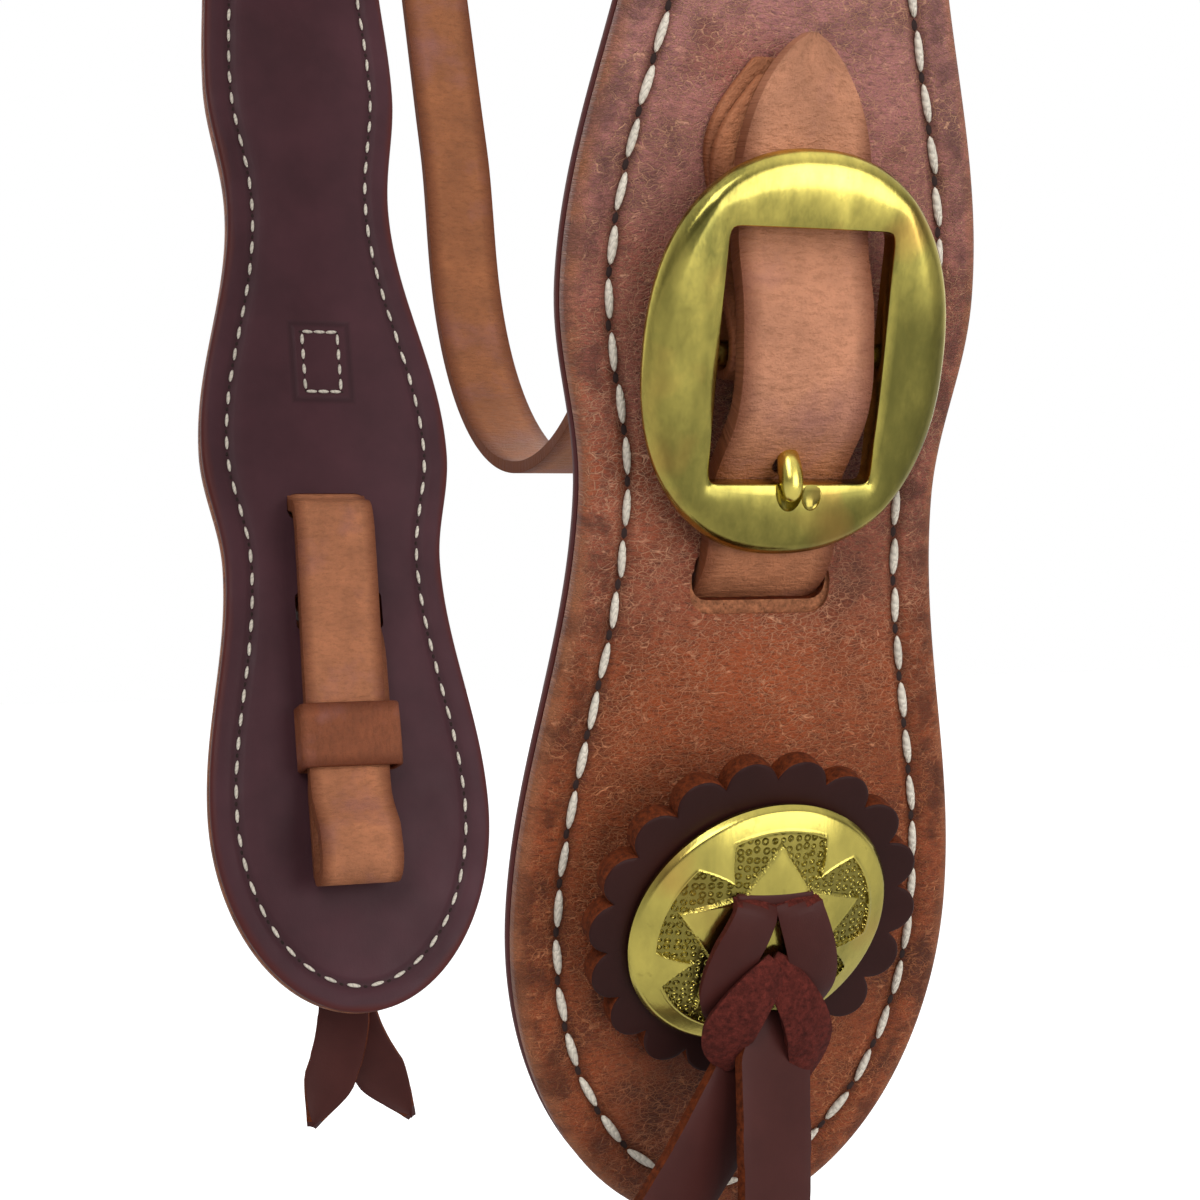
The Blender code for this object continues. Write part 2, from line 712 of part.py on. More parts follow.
def make_tie_knot(group, tools):
    """The lace: across the back, out through both slots, and the plaited knot in front."""
    back_low = FLESH_Y + GAP
    back = [
        (back_low, TIE_Z - LACE_STEP - LACE / 2),
        (back_low + LACE, TIE_Z - LACE_STEP - LACE / 2),
        (back_low + LACE, TIE_Z + LACE_STEP + LACE / 2),
        (back_low, TIE_Z + LACE_STEP + LACE / 2),
    ]
    obj = side_profile("tie_knot", back, LACE_WIDE, group)
    for sign in (-1, 1):
        z = TIE_Z + sign * LACE_STEP
        front = (tie_place() @ Vector((0, KNOT_Y, sign * LACE_STEP + 0.0020))).y
        long = back_low + LACE / 2 - front
        leg = box("leg_tool", (LACE_WIDE, long, LACE), (0, front + long / 2, z), tools)
        boolean(obj, leg, "UNION")
    top = LACE_STEP + 0.0032
    upper = [
        (0.0, top + 0.0004), (0.0052, top), (0.0058, top - 0.0060), (0.0060, top - 0.0145),
        (0.0010, top - 0.0082), (-0.0010, top - 0.0082), (-0.0066, top - 0.0145), (-0.0060, top - 0.0060),
        (-0.0052, top),
    ]
    lower = [
        (0.0, top - 0.0070), (0.0058, top - 0.0120), (0.0088, top - 0.0190), (0.0050, top - 0.0235),
        (0.0, top - 0.0175), (-0.0056, top - 0.0245), (-0.0092, top - 0.0190), (-0.0062, top - 0.0120),
    ]
    for outline, low in ((upper, KNOT_Y - 0.0016), (lower, KNOT_Y - 0.0030)):
        piece = plate("knot_tool", outline, low, low + 0.0016, tools)
        piece.data.transform(tie_place())
        boolean(obj, piece, "UNION")
    return obj


def make_tails(group):
    """The lace's two cut ends, hanging plumb from the knot."""
    tails = []
    half = LACE_WIDE / 2
    for name, lean, depth, drop, long in (
        ("tie_tail_front", 0.03, 0.0042, 0.0190, TAIL_LONG),
        ("tie_tail_rear", 0.30, 0.0014, 0.0224, TAIL_LONG * 0.95),
    ):
        outline = [
            (-half, 0), (half, 0), (half * 1.02, -long * 0.75),
            (half * 0.4, -long), (-half * 0.96, -long * 0.82),
        ]
        obj = plate(name, outline, -LACE / 2, LACE / 2, group)
        root = tie_place() @ Vector((0, KNOT_Y - depth, LACE_STEP - drop))
        obj.data.transform(Matrix.Rotation(-LEAN, 4, "X") @ Matrix.Rotation(lean, 4, "Y"))
        obj.location = root
        tails.append(obj)
    return tails


def cheek_parts(group, tools):
    parts = [
        (make_cheek_leather(group, tools), "russet"),
        (make_cheek_lining(group, tools), "plum"),
        (make_box_stitching(group), "thread"),
        (make_bit_strap(group, tools), "tan"),
        (make_keeper(group, tools), "tan"),
        (make_chape(group, tools), "tan"),
        (make_buckle_frame(group, tools), "brass"),
        (make_tongue(group, tools), "brass"),
        (make_rosette(group, tools), "plum"),
        (make_concho(group, tools), "brass"),
        (make_tie_knot(group, tools), "plum"),
    ]
    parts += [(thread, "thread") for thread in make_edge_stitching(group)]
    return parts + [(tail, "plum") for tail in make_tails(group)]


def cheek_empty(name, side, group):
    """An empty at the cheek's slot line, turned so that its z runs up the cheek."""
    empty = bpy.data.objects.new(name, None)
    group.objects.link(empty)
    empty.location = (0, side * CHEEK_SPREAD / 2, SLOT_Z)
    empty.rotation_euler = (-side * LEAN, 0, 0)
    return empty


def hung(side, y, z):
    """A place in a cheek's frame, as the headstall's y and z."""
    turned = Matrix.Rotation(LEAN, 4, "X") @ Vector((0, y, z))
    return (-side * (turned.y - CHEEK_SPREAD / 2), SLOT_Z + turned.z)


def make_crown(group):
    """The strap over the poll. An odd number of facets leaves one level at the top, where it hangs."""
    centre = (0, SLOT_Z + CROWN_CENTRE)
    low = WAVES[-1][0] - CROWN_LAP
    turn = (math.pi + LEAN, -LEAN, CROWN_FACETS)
    outer, inner = (
        [hung(-1, y, low), *arc(centre, ARC_R - y, *turn), hung(1, y, low)]
        for y in (CROWN_FACE_Y, CROWN_BACK_Y)
    )
    return side_profile("crown_strap", outer + inner[::-1], CROWN_WIDTH, group)


def make_crown_stitching(group):
    """Thread round each lap where the crown is sewn to a cheek."""
    half = CROWN_WIDTH / 2 - 0.004
    low, high = BROW_Z + BROW_WIDE / 2 + 0.0020, WAVES[-1][0] - 0.0030
    made = []
    for name, side in (("crown_stitching_left", -1), ("crown_stitching_right", 1)):
        line = [(-half, low), (half, low), (half, high), (-half, high)]
        obj = thread_loop(name, line, CROWN_BACK_Y, 1, group)
        made.append(placed(obj, side))
    return made


def placed(obj, side):
    """Moves a mesh made in a cheek's frame to its place on the hung headstall."""
    if side > 0:
        obj.data.transform(Matrix.Scale(-1, 4, (0, 1, 0)))
        obj.data.flip_normals()
    lie = Matrix.Translation((0, side * CHEEK_SPREAD / 2, SLOT_Z)) @ Matrix.Rotation(-side * LEAN, 4, "X")
    obj.data.transform(lie)
    return obj


def make_browband(group, tools):
    """A band across the brow, with a flat loop at each end round the cheek, crown and throatlatch."""
    y_low = GRAIN_Y - THREAD_LIFT - 2 * THREAD_R - GAP - BROW_THICK
    y_high = CROWN_BACK_Y + GAP + BROW_THICK
    middle, deep = (y_low + y_high) / 2, y_high - y_low
    height = SLOT_Z + BROW_Z * math.cos(LEAN)
    side_y = CHEEK_SPREAD / 2 + BROW_Z * math.sin(LEAN)
    start = BROW_HALF + BROW_THICK / 2
    half_path = [(-start, -side_y)] + [(-x * BROW_REACH, -y * side_y) for x, y in BROW_BENDS]
    path = smooth_path(half_path + [(x, -y) for x, y in reversed(half_path)], 4)
    lift = Matrix.Translation((0, 0, height))
    band = extruded("browband", ribbon_outline(path, BROW_THICK / 2), BROW_WIDE, group, lift)
    for side in (-1, 1):
        outer = (2 * (BROW_HALF + BROW_THICK), deep, BROW_WIDE)
        ring = placed(box("ring_tool", outer, (0, middle, BROW_Z), tools), side)
        boolean(band, ring, "UNION")
    for side in (-1, 1):
        inner = (2 * BROW_HALF, deep - 2 * BROW_THICK, BROW_WIDE * 2)
        room = placed(box("room_tool", inner, (0, middle, BROW_Z), tools), side)
        boolean(band, room, "DIFFERENCE")
    return band


def throat_line():
    """The right half of the throatlatch's hang, from its sewn end down to the middle of the U, in y and z."""
    step = CROWN_SWEEP / CROWN_FACETS
    high, low = (THROAT_FACETS[k] * step - LEAN for k in (1, 0))
    radius = ARC_R - THROAT_Y
    centre = (0, SLOT_Z + CROWN_CENTRE)
    sewn = arc(centre, radius, high, low, THROAT_FACETS[1] - THROAT_FACETS[0])
    y, z = sewn[-1]
    leave = [(y + 0.0012, z - 0.0060), (y + 0.0002, z - 0.0130)]
    turn_z = SLOT_Z + THROAT_TURN_Z
    slope = (y - 0.0030 - THROAT_R) / (z - 0.0260 - turn_z)
    heights = (z - 0.0260, z - 0.0320, turn_z + 0.0180, turn_z + 0.0060)
    slant = [(THROAT_R + slope * (h - turn_z), h) for h in heights]
    drop = THROAT_TURN_Z - THROAT_LOW
    bowl = arc((0, turn_z), THROAT_R, 0.0, -math.pi / 2, 5)[1:]
    bowl = [(by, turn_z + (bz - turn_z) * drop / THROAT_R) for by, bz in bowl]
    return sewn, leave, slant, bowl


def throat_buckle_place():
    """The left buckle's bar, on the slant stretch, with z up the strap and y towards the horse's head."""
    slant = throat_line()[2]
    top, low = (Vector((-y, z)) for y, z in (slant[1], slant[2]))
    along = (top - low).normalized()
    bar = low + along * ((SLOT_Z + THROAT_BUCKLE_Z - low.y) / along.y)
    turn = math.atan2(-along.x, along.y)
    return Matrix.Translation((THROAT_X, bar.x, bar.y)) @ Matrix.Rotation(turn, 4, "X")


def in_buckle(points):
    """Places in the throatlatch buckle's frame as the headstall's y and z."""
    place = throat_buckle_place()
    return [tuple((place @ Vector((0, y, z))).yz) for y, z in points]


def throat_layers():
    """How far from the bar lie the short strap's two sides, its fold, and the long strap over it."""
    back = THROAT_THICK / 2 + GAP / 2
    fold = THROAT_BAR_R + GAP + THROAT_THICK / 2
    over = fold + THROAT_THICK + GAP
    return back, fold, over


def make_throat_short(group, tools):
    back, fold, _ = throat_layers()
    sewn, leave, slant, _ = throat_line()
    left = [(-y, z) for y, z in leave + slant[:2]]
    lead = in_buckle(
        [(back, 0.0190), (back, 0.0170), (back, 0.0085), (back, 0.0070), (fold - 0.0002, 0.0022)]
    )
    turn = in_buckle(arc((0, 0), fold, 0, -math.pi, 10))
    rise = in_buckle([(-fold + 0.0002, 0.0022), (-back, 0.0070), (-back, 0.0085), (-back, 0.0170)])
    path = [(-y, z) for y, z in sewn] + smooth_path([*left, *lead], 4) + turn + smooth_path(rise, 3)
    obj = side_profile("throatlatch_short_strap", ribbon_outline(path, THROAT_THICK / 2), THROAT_WIDE, group)
    obj.data.transform(Matrix.Translation((THROAT_X, 0, 0)))
    room = box("throat_room_tool", (0.0036, 0.02, 0.0080), (0, 0, -0.0012), tools)
    room.data.transform(throat_buckle_place())
    return boolean(obj, room, "DIFFERENCE")


def make_throat_long(group, tools):
    back, _, over = throat_layers()
    sewn, leave, slant, bowl = throat_line()
    left_bowl = [(-y, z) for y, z in reversed(bowl[:-1])]
    rim = THROAT_WINDOW[1] + 0.0010
    up = in_buckle(
        [
            (-0.0006, -rim - 0.0100), (-0.0006, -rim + 0.0020), (-over, -0.0010), (-over, 0.0020),
            (-back - THROAT_THICK - GAP, 0.0090), (-back - THROAT_THICK - GAP, 0.0120),
            (-back - THROAT_THICK - GAP, 0.0300),
        ]
    )
    path = sewn + smooth_path([*leave, *slant, *bowl, *left_bowl, *up], 4)
    obj = side_profile("throatlatch_long_strap", ribbon_outline(path, THROAT_THICK / 2), THROAT_WIDE, group)
    obj.data.transform(Matrix.Translation((THROAT_X, 0, 0)))
    hole = plate("throat_hole_tool", rounded_slot(0.0028, 0.0110, -rim / 2 + 0.0006), -0.012, 0.004, tools)
    hole.data.transform(throat_buckle_place())
    return boolean(obj, hole, "DIFFERENCE")


def throat_frame_tilt():
    return math.atan2(0.0030, THROAT_WINDOW[1])


def make_throat_buckle(group, tools):
    wide, tall, thick = THROAT_FRAME
    window_wide, window_tall = THROAT_WINDOW
    middle = -window_tall / 2
    obj = plate("throatlatch_buckle", rounded_slot(wide, tall, middle), -thick / 2, thick / 2, group)
    boolean(obj, box("throat_window", (window_wide, 0.01, window_tall), (0, 0, middle), tools), "DIFFERENCE")
    clear = box("throat_heel", (window_wide, 0.01, 0.0060), (0, 0, 0.0010), tools)
    boolean(obj, clear, "DIFFERENCE")
    across = Matrix.Rotation(math.pi / 2, 4, "Y")
    boolean(obj, drum("throat_bar", THROAT_BAR_R, window_wide + 0.003, across, tools, 12), "UNION")
    obj.data.transform(throat_buckle_place() @ Matrix.Rotation(-throat_frame_tilt(), 4, "X"))
    return obj


def make_throat_tongue(group, tools):
    tilt = Matrix.Rotation(-throat_frame_tilt(), 4, "X")
    lie = -THROAT_FRAME[2] / 2 - GAP - THROAT_TONGUE_R
    rim = -THROAT_WINDOW[1]
    eye_r = THROAT_BAR_R + GAP
    middle = eye_r + THROAT_TONGUE_R * 0.7
    line = [(0, -middle, -0.0002), (0, -middle - 0.0002, -0.0020)]
    line += [tuple(tilt @ Vector((0, lie, z))) for z in (rim + 0.0010, rim - 0.0026)]
    obj = tube("throatlatch_tongue", line, THROAT_TONGUE_R, group)
    across = Matrix.Rotation(math.pi / 2, 4, "Y")
    boolean(obj, drum("throat_ring", eye_r + 0.0008, 0.0022, across, tools, 16), "UNION")
    boolean(obj, drum("throat_eye", eye_r, 0.0060, across, tools, 16), "DIFFERENCE")
    obj.data.transform(throat_buckle_place())
    return with_origin(obj, throat_buckle_place().translation)


def make_throat_keeper(group, tools):
    """A small fixed-width loop round the short strap's two sides and the long strap's end."""
    back, _, _ = throat_layers()
    y_high = back + THROAT_THICK / 2 + GAP + KEEPER
    y_low = -back - 1.5 * THROAT_THICK - GAP - GAP - KEEPER
    size = (THROAT_WIDE + 2 * GAP + 2 * KEEPER, y_high - y_low, THROAT_KEEPER_TALL)
    centre = (0, (y_low + y_high) / 2, THROAT_KEEPER_UP)
    obj = box("throatlatch_keeper", size, centre, group)
    inside = (THROAT_WIDE + 2 * GAP, y_high - y_low - 2 * KEEPER, THROAT_KEEPER_TALL * 2)
    boolean(obj, box("throat_keeper_tool", inside, centre, tools), "DIFFERENCE")
    obj.data.transform(throat_buckle_place())
    return with_origin(obj, throat_buckle_place() @ Vector(centre))


def main():
    clear_scene()
    group = collection("headstall")
    tools = collection("cutters", hidden=True)
    finishes = {
        "plum": material("plum_leather", PLUM, 0.55),
        "russet": material("russet_leather", RUSSET, 0.5),
        "tan": material("tan_leather", TAN, 0.6),
        "thread": material("white_thread", THREAD, 0.8),
        "brass": material("yellow_brass", BRASS, 0.25, 1.0),
    }
    left = cheek_empty("left_cheek", -1, group)
    right = cheek_empty("right_cheek", 1, group)
    mirror = Matrix.Scale(-1, 4, (0, 1, 0))
    for obj, finish in cheek_parts(group, tools):
        name = obj.name
        dressed(obj, finishes[finish])
        twin_mesh = obj.data.copy()
        twin_mesh.transform(mirror)
        twin_mesh.flip_normals()
        twin = bpy.data.objects.new(name + "_right", twin_mesh)
        group.objects.link(twin)
        twin.location = mirror @ obj.location
        twin.parent = right
        obj.name = name + "_left"
        obj.parent = left
    shared = [
        (make_crown(group), "plum"),
        (make_browband(group, tools), "russet"),
        (make_throat_short(group, tools), "tan"),
        (make_throat_long(group, tools), "tan"),
        (make_throat_buckle(group, tools), "brass"),
        (make_throat_tongue(group, tools), "brass"),
        (make_throat_keeper(group, tools), "tan"),
    ]
    shared += [(thread, "thread") for thread in make_crown_stitching(group)]
    for obj, finish in shared:
        dressed(obj, finishes[finish])


if __name__ == "__main__":
    main()
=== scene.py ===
"""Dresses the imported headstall: tooled leather, single stitches, stamped brass and plaited laces.

Each cheek's pieces are made in the left cheek's own frame (x across the strap, z up along it, y through it
with the grain side at -y, z = 0 at the billet slot), placed on the headstall, and mirrored for the right.
"""

import math
import random

import bmesh
import bpy
from bpy.props import FloatProperty, FloatVectorProperty, IntProperty, PointerProperty
from mathutils import Matrix, Vector


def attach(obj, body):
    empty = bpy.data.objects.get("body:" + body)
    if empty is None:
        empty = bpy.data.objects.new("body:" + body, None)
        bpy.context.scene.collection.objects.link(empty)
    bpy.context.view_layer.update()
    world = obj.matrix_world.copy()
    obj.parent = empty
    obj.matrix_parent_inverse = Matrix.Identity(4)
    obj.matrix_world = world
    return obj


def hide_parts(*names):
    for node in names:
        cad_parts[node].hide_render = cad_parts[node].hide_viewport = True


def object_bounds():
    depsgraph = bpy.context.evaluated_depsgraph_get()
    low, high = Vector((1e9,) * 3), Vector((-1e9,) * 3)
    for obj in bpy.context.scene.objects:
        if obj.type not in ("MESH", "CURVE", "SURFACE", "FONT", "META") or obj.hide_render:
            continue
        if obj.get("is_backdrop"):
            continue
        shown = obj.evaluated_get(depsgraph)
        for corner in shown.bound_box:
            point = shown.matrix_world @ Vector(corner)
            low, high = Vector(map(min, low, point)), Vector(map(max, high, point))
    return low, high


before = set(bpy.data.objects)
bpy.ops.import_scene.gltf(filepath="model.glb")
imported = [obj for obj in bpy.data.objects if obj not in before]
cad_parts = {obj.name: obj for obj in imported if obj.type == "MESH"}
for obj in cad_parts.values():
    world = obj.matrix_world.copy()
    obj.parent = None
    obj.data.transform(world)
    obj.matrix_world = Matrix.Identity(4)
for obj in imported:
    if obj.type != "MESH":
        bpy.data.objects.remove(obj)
CAD_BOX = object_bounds()

bl_info = {
    "name": "Western headstall",
    "version": (1, 0, 0),
    "blender": (4, 5, 0),
    "location": "View3D > Sidebar > Headstall",
    "description": "Builds the dressed headstall piece by piece around its packed solids",
    "category": "Object",
}

# How the headstall hangs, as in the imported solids
GAP = 0.0003
LEAN = math.radians(12.0)
CHEEK_SPREAD = 0.209
CROWN_CENTRE = 0.2130
CROWN_THICK = 0.0040
CROWN_WIDTH = 0.038
CROWN_FACETS = 27
CROWN_LAP = 0.042
FRONT_LEATHER = 0.0030
LINING = 0.0020
STRAP = 0.0024
CHAPE = 0.0013
KEEPER = 0.0012
LACE = 0.0015
BUCKLE_THICK = 0.0032
BAR_R = 0.0015
GRAIN_Y = -FRONT_LEATHER - GAP / 2
FLESH_Y = LINING + GAP / 2
INNER_Y = FLESH_Y + 2 * GAP + KEEPER + STRAP / 2
OUTER_Y = INNER_Y + STRAP + GAP
FRONT_Y = GRAIN_Y - GAP - STRAP / 2
CHAPE_LOW_Y = GRAIN_Y - GAP - CHAPE / 2
BAR_Y = GRAIN_Y - 2 * GAP - CHAPE - BAR_R
CHAPE_TOP_Y = CHAPE_LOW_Y - CHAPE - GAP
BILLET_TOP_Y = CHAPE_TOP_Y - CHAPE / 2 - GAP - STRAP / 2
BILLET_BAR_Y = BAR_Y - BAR_R - 2 * GAP - CHAPE - STRAP / 2
CROWN_FACE_Y = FLESH_Y + GAP
CROWN_BACK_Y = CROWN_FACE_Y + CROWN_THICK
ARC_R = CHEEK_SPREAD / 2 * math.cos(LEAN) + CROWN_CENTRE * math.sin(LEAN)
CROWN_SWEEP = math.pi + 2 * LEAN
SLOT_Z = -(CROWN_CENTRE + (ARC_R - CROWN_BACK_Y) * math.cos(CROWN_SWEEP / CROWN_FACETS / 2))

# Cheek outline: height and half width of each wave, from the paddle up
PADDLE = (-0.0410, 0.0288)
TIP = -0.0816
WAVES = [
    PADDLE,
    (0.0100, 0.0227),
    (0.0345, 0.0262),
    (0.0890, 0.0176),
    (0.1170, 0.0206),
    (0.1500, 0.0190),
    (0.1860, 0.0215),
]
CHEEK_TOP = WAVES[-1][0]
CORNER = 0.0072

# Buckle: the frame's and the window's half sizes, how square their ovals are, and each hollow's place and size
FRAME_HALF = (0.0190, 0.0235)
FRAME_POWER = 2.25
WINDOW_HALF = (0.0103, 0.0147)
WINDOW_POWER = 26.0
TONGUE_NOTCH = ((0, -0.0025, -0.0150), (0.0021, 0.0021, 0.0032))
RIM_DIMPLE = ((0.0028, -0.0017, -0.0160), (0.0013, 0.0007, 0.0018))
BAR_HALF = 0.0125
LUG_X = 0.0122
LUG_R = 0.0019
STRAP_WIDTH = 0.0163
CHAPE_WIDTH = 0.0165
KEEPER_WIDTH = 0.0206
KEEPER_TALL = 0.0130

# Tie and concho
ROSETTE_R = 0.0212
ROSETTE_THICK = 0.0030
CONCHO_R = 0.0172
LACE_WIDTH = 0.0098
LACE_SLOT = (0.0108, LACE + 0.0014)

# How far the strap's runs behind the cheek, its keeper and the chape's upper end have slipped sideways
OUTER_SLIP = -0.0018
INNER_SLIP = -0.0016
KEEPER_SLIP = -0.0010
CHAPE_SLIP = -0.0032

# Cuts: the depths between which a tool stands through a cheek, and the lining's upper slot, off the middle
THROUGH = (-0.01, 0.01)
UPPER_SLOT_X = -0.0011

# The sewn rectangle that holds the bit strap: width, height and middle. The lining is pressed in round it.
BOX_SEAM = (0.0076, 0.0132, 0.0538)
PRESSED = (0.0061, 0.0084, BOX_SEAM[2])

# Lines on the finishes: the seam's inset in the edge's masks, and where the bit strap's pinker part begins
SEAM_INSET = 0.0052
BLUSH_FROM = (0.166, 0.178)

# Places on the cheek
BUCKLE_Z = 0.0275
KEEPER_Z = -0.0270
LOOP_R = 0.0031
LOOP_BOTTOM = -0.0570
TIE_Z = -0.0390
TIE_TILT = math.radians(12)
TIE_PULL = (-0.0014, 0.0002)
LACE_STEP = 0.0042
BROW_Z = 0.1580
BROW_WIDTH = 0.0220
BROW_THICK = 0.0026
BROW_HALF = 0.0208

# The back's seams, as shares of the front's thread and pitch
BACK_THREAD = 0.72
BACK_PITCH = 0.80

RIGHT_TURN = math.pi / 2
MIRROR = Matrix.Scale(-1, 4, (0, 1, 0))
SIDES = (("left", -1), ("right", 1))


class HeadstallSizes(bpy.types.PropertyGroup):
    """Sizes of the worked details."""

    stitch_inset: FloatProperty(
        name="Stitch inset", description="From the edge to the seam", default=SEAM_INSET, unit="LENGTH"
    )
    stitch_pitch: FloatProperty(
        name="Stitch pitch", description="From one stitch to the next", default=0.0061, unit="LENGTH"
    )
    grain_stitch: FloatProperty(
        name="Grain stitch", description="Length of a stitch on the grain side", default=0.0049, unit="LENGTH"
    )
    lining_stitch: FloatProperty(
        name="Lining stitch", description="Length of a stitch on the lining", default=0.0030, unit="LENGTH"
    )
    thread: FloatProperty(name="Thread", description="Width of the thread", default=0.00108, unit="LENGTH")
    groove: FloatProperty(
        name="Groove", description="Depth of the stitch groove", default=0.0005, unit="LENGTH"
    )
    lobes: IntProperty(name="Lobes", description="Scallops round the rosette", default=18, min=6)
    lobe_round: FloatProperty(
        name="Lobe radius", description="Radius of a scallop", default=0.0033, unit="LENGTH"
    )


class HeadstallColours(bpy.types.PropertyGroup):
    """Colours of the finishes, as linear light."""

    russet: FloatVectorProperty(
        name="Russet", description="Oiled grain leather", subtype="COLOR", default=(0.262, 0.050, 0.011)
    )
    # Painted sheen: the pinker, paler tone that the cheek's colour turns to towards its top. The straps' rosy
    # patches use it too.
    rose: FloatVectorProperty(
        name="Rose", description="Duller oiling at the top", subtype="COLOR", default=(0.450, 0.185, 0.172)
    )
    crease: FloatVectorProperty(
        name="Crease", description="Pale creases and worn rims",
        subtype="COLOR", default=(0.570, 0.205, 0.085),
    )
    plum: FloatVectorProperty(
        name="Plum", description="Smooth dark leather", subtype="COLOR", default=(0.065, 0.021, 0.027)
    )
    lace: FloatVectorProperty(
        name="Lace",
        description="Oiled latigo of the ties and rosettes",
        subtype="COLOR",
        default=(0.062, 0.0155, 0.0125),
    )
    tan: FloatVectorProperty(
        name="Tan", description="Harness leather of the straps",
        subtype="COLOR", default=(0.500, 0.190, 0.088),
    )
    blush: FloatVectorProperty(
        name="Blush", description="Pinker front of the billets",
        subtype="COLOR", default=(0.530, 0.230, 0.128),
    )
    flesh: FloatVectorProperty(
        name="Flesh side", description="Rough side and cut edges",
        subtype="COLOR", default=(0.115, 0.019, 0.013),
    )
    thread: FloatVectorProperty(
        name="Thread", description="Waxed thread", subtype="COLOR", default=(0.760, 0.680, 0.560)
    )
    brass: FloatVectorProperty(
        name="Brass", description="Polished yellow brass", subtype="COLOR", default=(0.580, 0.475, 0.108)
    )


# Geometry helpers


def smooth_path(points, steps):
    """A smooth curve through 2D points. Its slope at a point is that of the line between its neighbours."""
    spots = [Vector(point) for point in points]
    ends = [spots[0], *spots, spots[-1]]
    slopes = [(after - before).normalized() for before, after in zip(ends, ends[2:])]
    path = []
    for start, end, out, into in zip(spots, spots[1:], slopes, slopes[1:]):
        reach = (end - start).length
        for k in range(steps):
            t = k / steps
            path.append(
                start * (2 * t**3 - 3 * t**2 + 1)
                + out * reach * (t**3 - 2 * t**2 + t)
                + end * (3 * t**2 - 2 * t**3)
                + into * reach * (t**3 - t**2)
            )
    path.append(spots[-1])
    return [tuple(place) for place in path]


def arc(centre, radius, start, end, steps):
    """Points on an arc about a 2D centre, angles in radians."""
    angles = [start + (end - start) * k / steps for k in range(steps + 1)]
    return [(centre[0] + radius * math.cos(a), centre[1] + radius * math.sin(a)) for a in angles]


class Track:
    """A line of points that can be read at any share of its length."""

    def __init__(self, points, closed=False):
        self.points = [Vector(point) for point in points]
        if closed:
            self.points.append(self.points[0].copy())
        self.marks = [0.0]
        for a, b in zip(self.points, self.points[1:]):
            self.marks.append(self.marks[-1] + (b - a).length)
        self.length = self.marks[-1]
        self.closed = closed

    def at(self, share):
        want = min(max(share % 1.0 if self.closed and share != 1.0 else share, 0.0), 1.0) * self.length
        low, high = 0, len(self.marks) - 2
        while low < high:
            middle = (low + high + 1) // 2
            if self.marks[middle] <= want:
                low = middle
            else:
                high = middle - 1
        reach = self.marks[low + 1] - self.marks[low] or 1.0
        return self.points[low].lerp(self.points[low + 1], (want - self.marks[low]) / reach)

    def along(self, share, step=0.004):
        return (self.at(min(share + step, 1.0 if not self.closed else 2.0)) - self.at(
            share - step if self.closed else max(share - step, 0.0)
        )).normalized()


def mesh_grid(columns, rows, place, scale=(1.0, 1.0)):
    """A grid, each vertex placed by its two shares from 0 to 1. Its UV map is the shares times the scale."""
    bm = bmesh.new()
    bmesh.ops.create_grid(bm, x_segments=columns, y_segments=rows, size=0.5)
    layer = bm.loops.layers.uv.new("surface")
    for face in bm.faces:
        for loop in face.loops:
            loop[layer].uv = ((loop.vert.co.x + 0.5) * scale[0], (loop.vert.co.y + 0.5) * scale[1])
    for vert in bm.verts:
        vert.co = place(vert.co.x + 0.5, vert.co.y + 0.5)
    return bm


def flat_uv(bm):
    """Lays a piece's UV map flat on its x and z, in metres."""
    layer = bm.loops.layers.uv["surface"]
    for face in bm.faces:
        for loop in face.loops:
            loop[layer].uv = (loop.vert.co.x, loop.vert.co.z)


def welded(bm, gap=0.000002):
    """Closes seams and poles, and turns every face outwards."""
    bmesh.ops.remove_doubles(bm, verts=bm.verts, dist=gap)
    bmesh.ops.dissolve_degenerate(bm, edges=bm.edges, dist=gap / 2)
    bmesh.ops.recalc_face_normals(bm, faces=bm.faces)
    return bm


def seamed(bm, gap=0.000002):
    """Closes a sheet's seam, and turns every face outwards."""
    bmesh.ops.remove_doubles(bm, verts=bm.verts, dist=gap)
    bmesh.ops.recalc_face_normals(bm, faces=bm.faces)
    return bm


def capped(bm):
    """Closes a worked face's seam and middle, and puts one flat face on its open back."""
    bmesh.ops.remove_doubles(bm, verts=bm.verts, dist=0.000004)
    bmesh.ops.contextual_create(bm, geom=[edge for edge in bm.edges if edge.is_boundary])
    bmesh.ops.recalc_face_normals(bm, faces=bm.faces)
    return bm


def linked(name, data):
    """A new object in the scene, holding a mesh, lamp or camera."""
    obj = bpy.data.objects.new(name, data)
    bpy.context.scene.collection.objects.link(obj)
    return obj


def as_object(name, bm, materials):
    mesh = bpy.data.meshes.new(name)
    bm.to_mesh(mesh)
    bm.free()
    for finish in materials:
        mesh.materials.append(finish)
    return linked(name, mesh)


def settled(obj, sharp=35.0):
    """Applies the modifiers, and shades smooth with crisp edges."""
    graph = bpy.context.evaluated_depsgraph_get()
    mesh = bpy.data.meshes.new_from_object(obj.evaluated_get(graph))
    obj.modifiers.clear()
    obj.data = mesh
    mesh.shade_smooth()
    mesh.set_sharp_from_angle(angle=math.radians(sharp))
    return obj


def store(obj, name, value):
    """Stores a value at each corner, worked out from its place."""
    mark = obj.data.attributes.new(name, "FLOAT", "POINT")
    for vert in obj.data.vertices:
        mark.data[vert.index].value = value(vert.co)
    return obj


def slip(obj, by):
    """Moves each corner sideways, by an amount that its place gives."""
    for vert in obj.data.vertices:
        vert.co.x += by(vert.co)


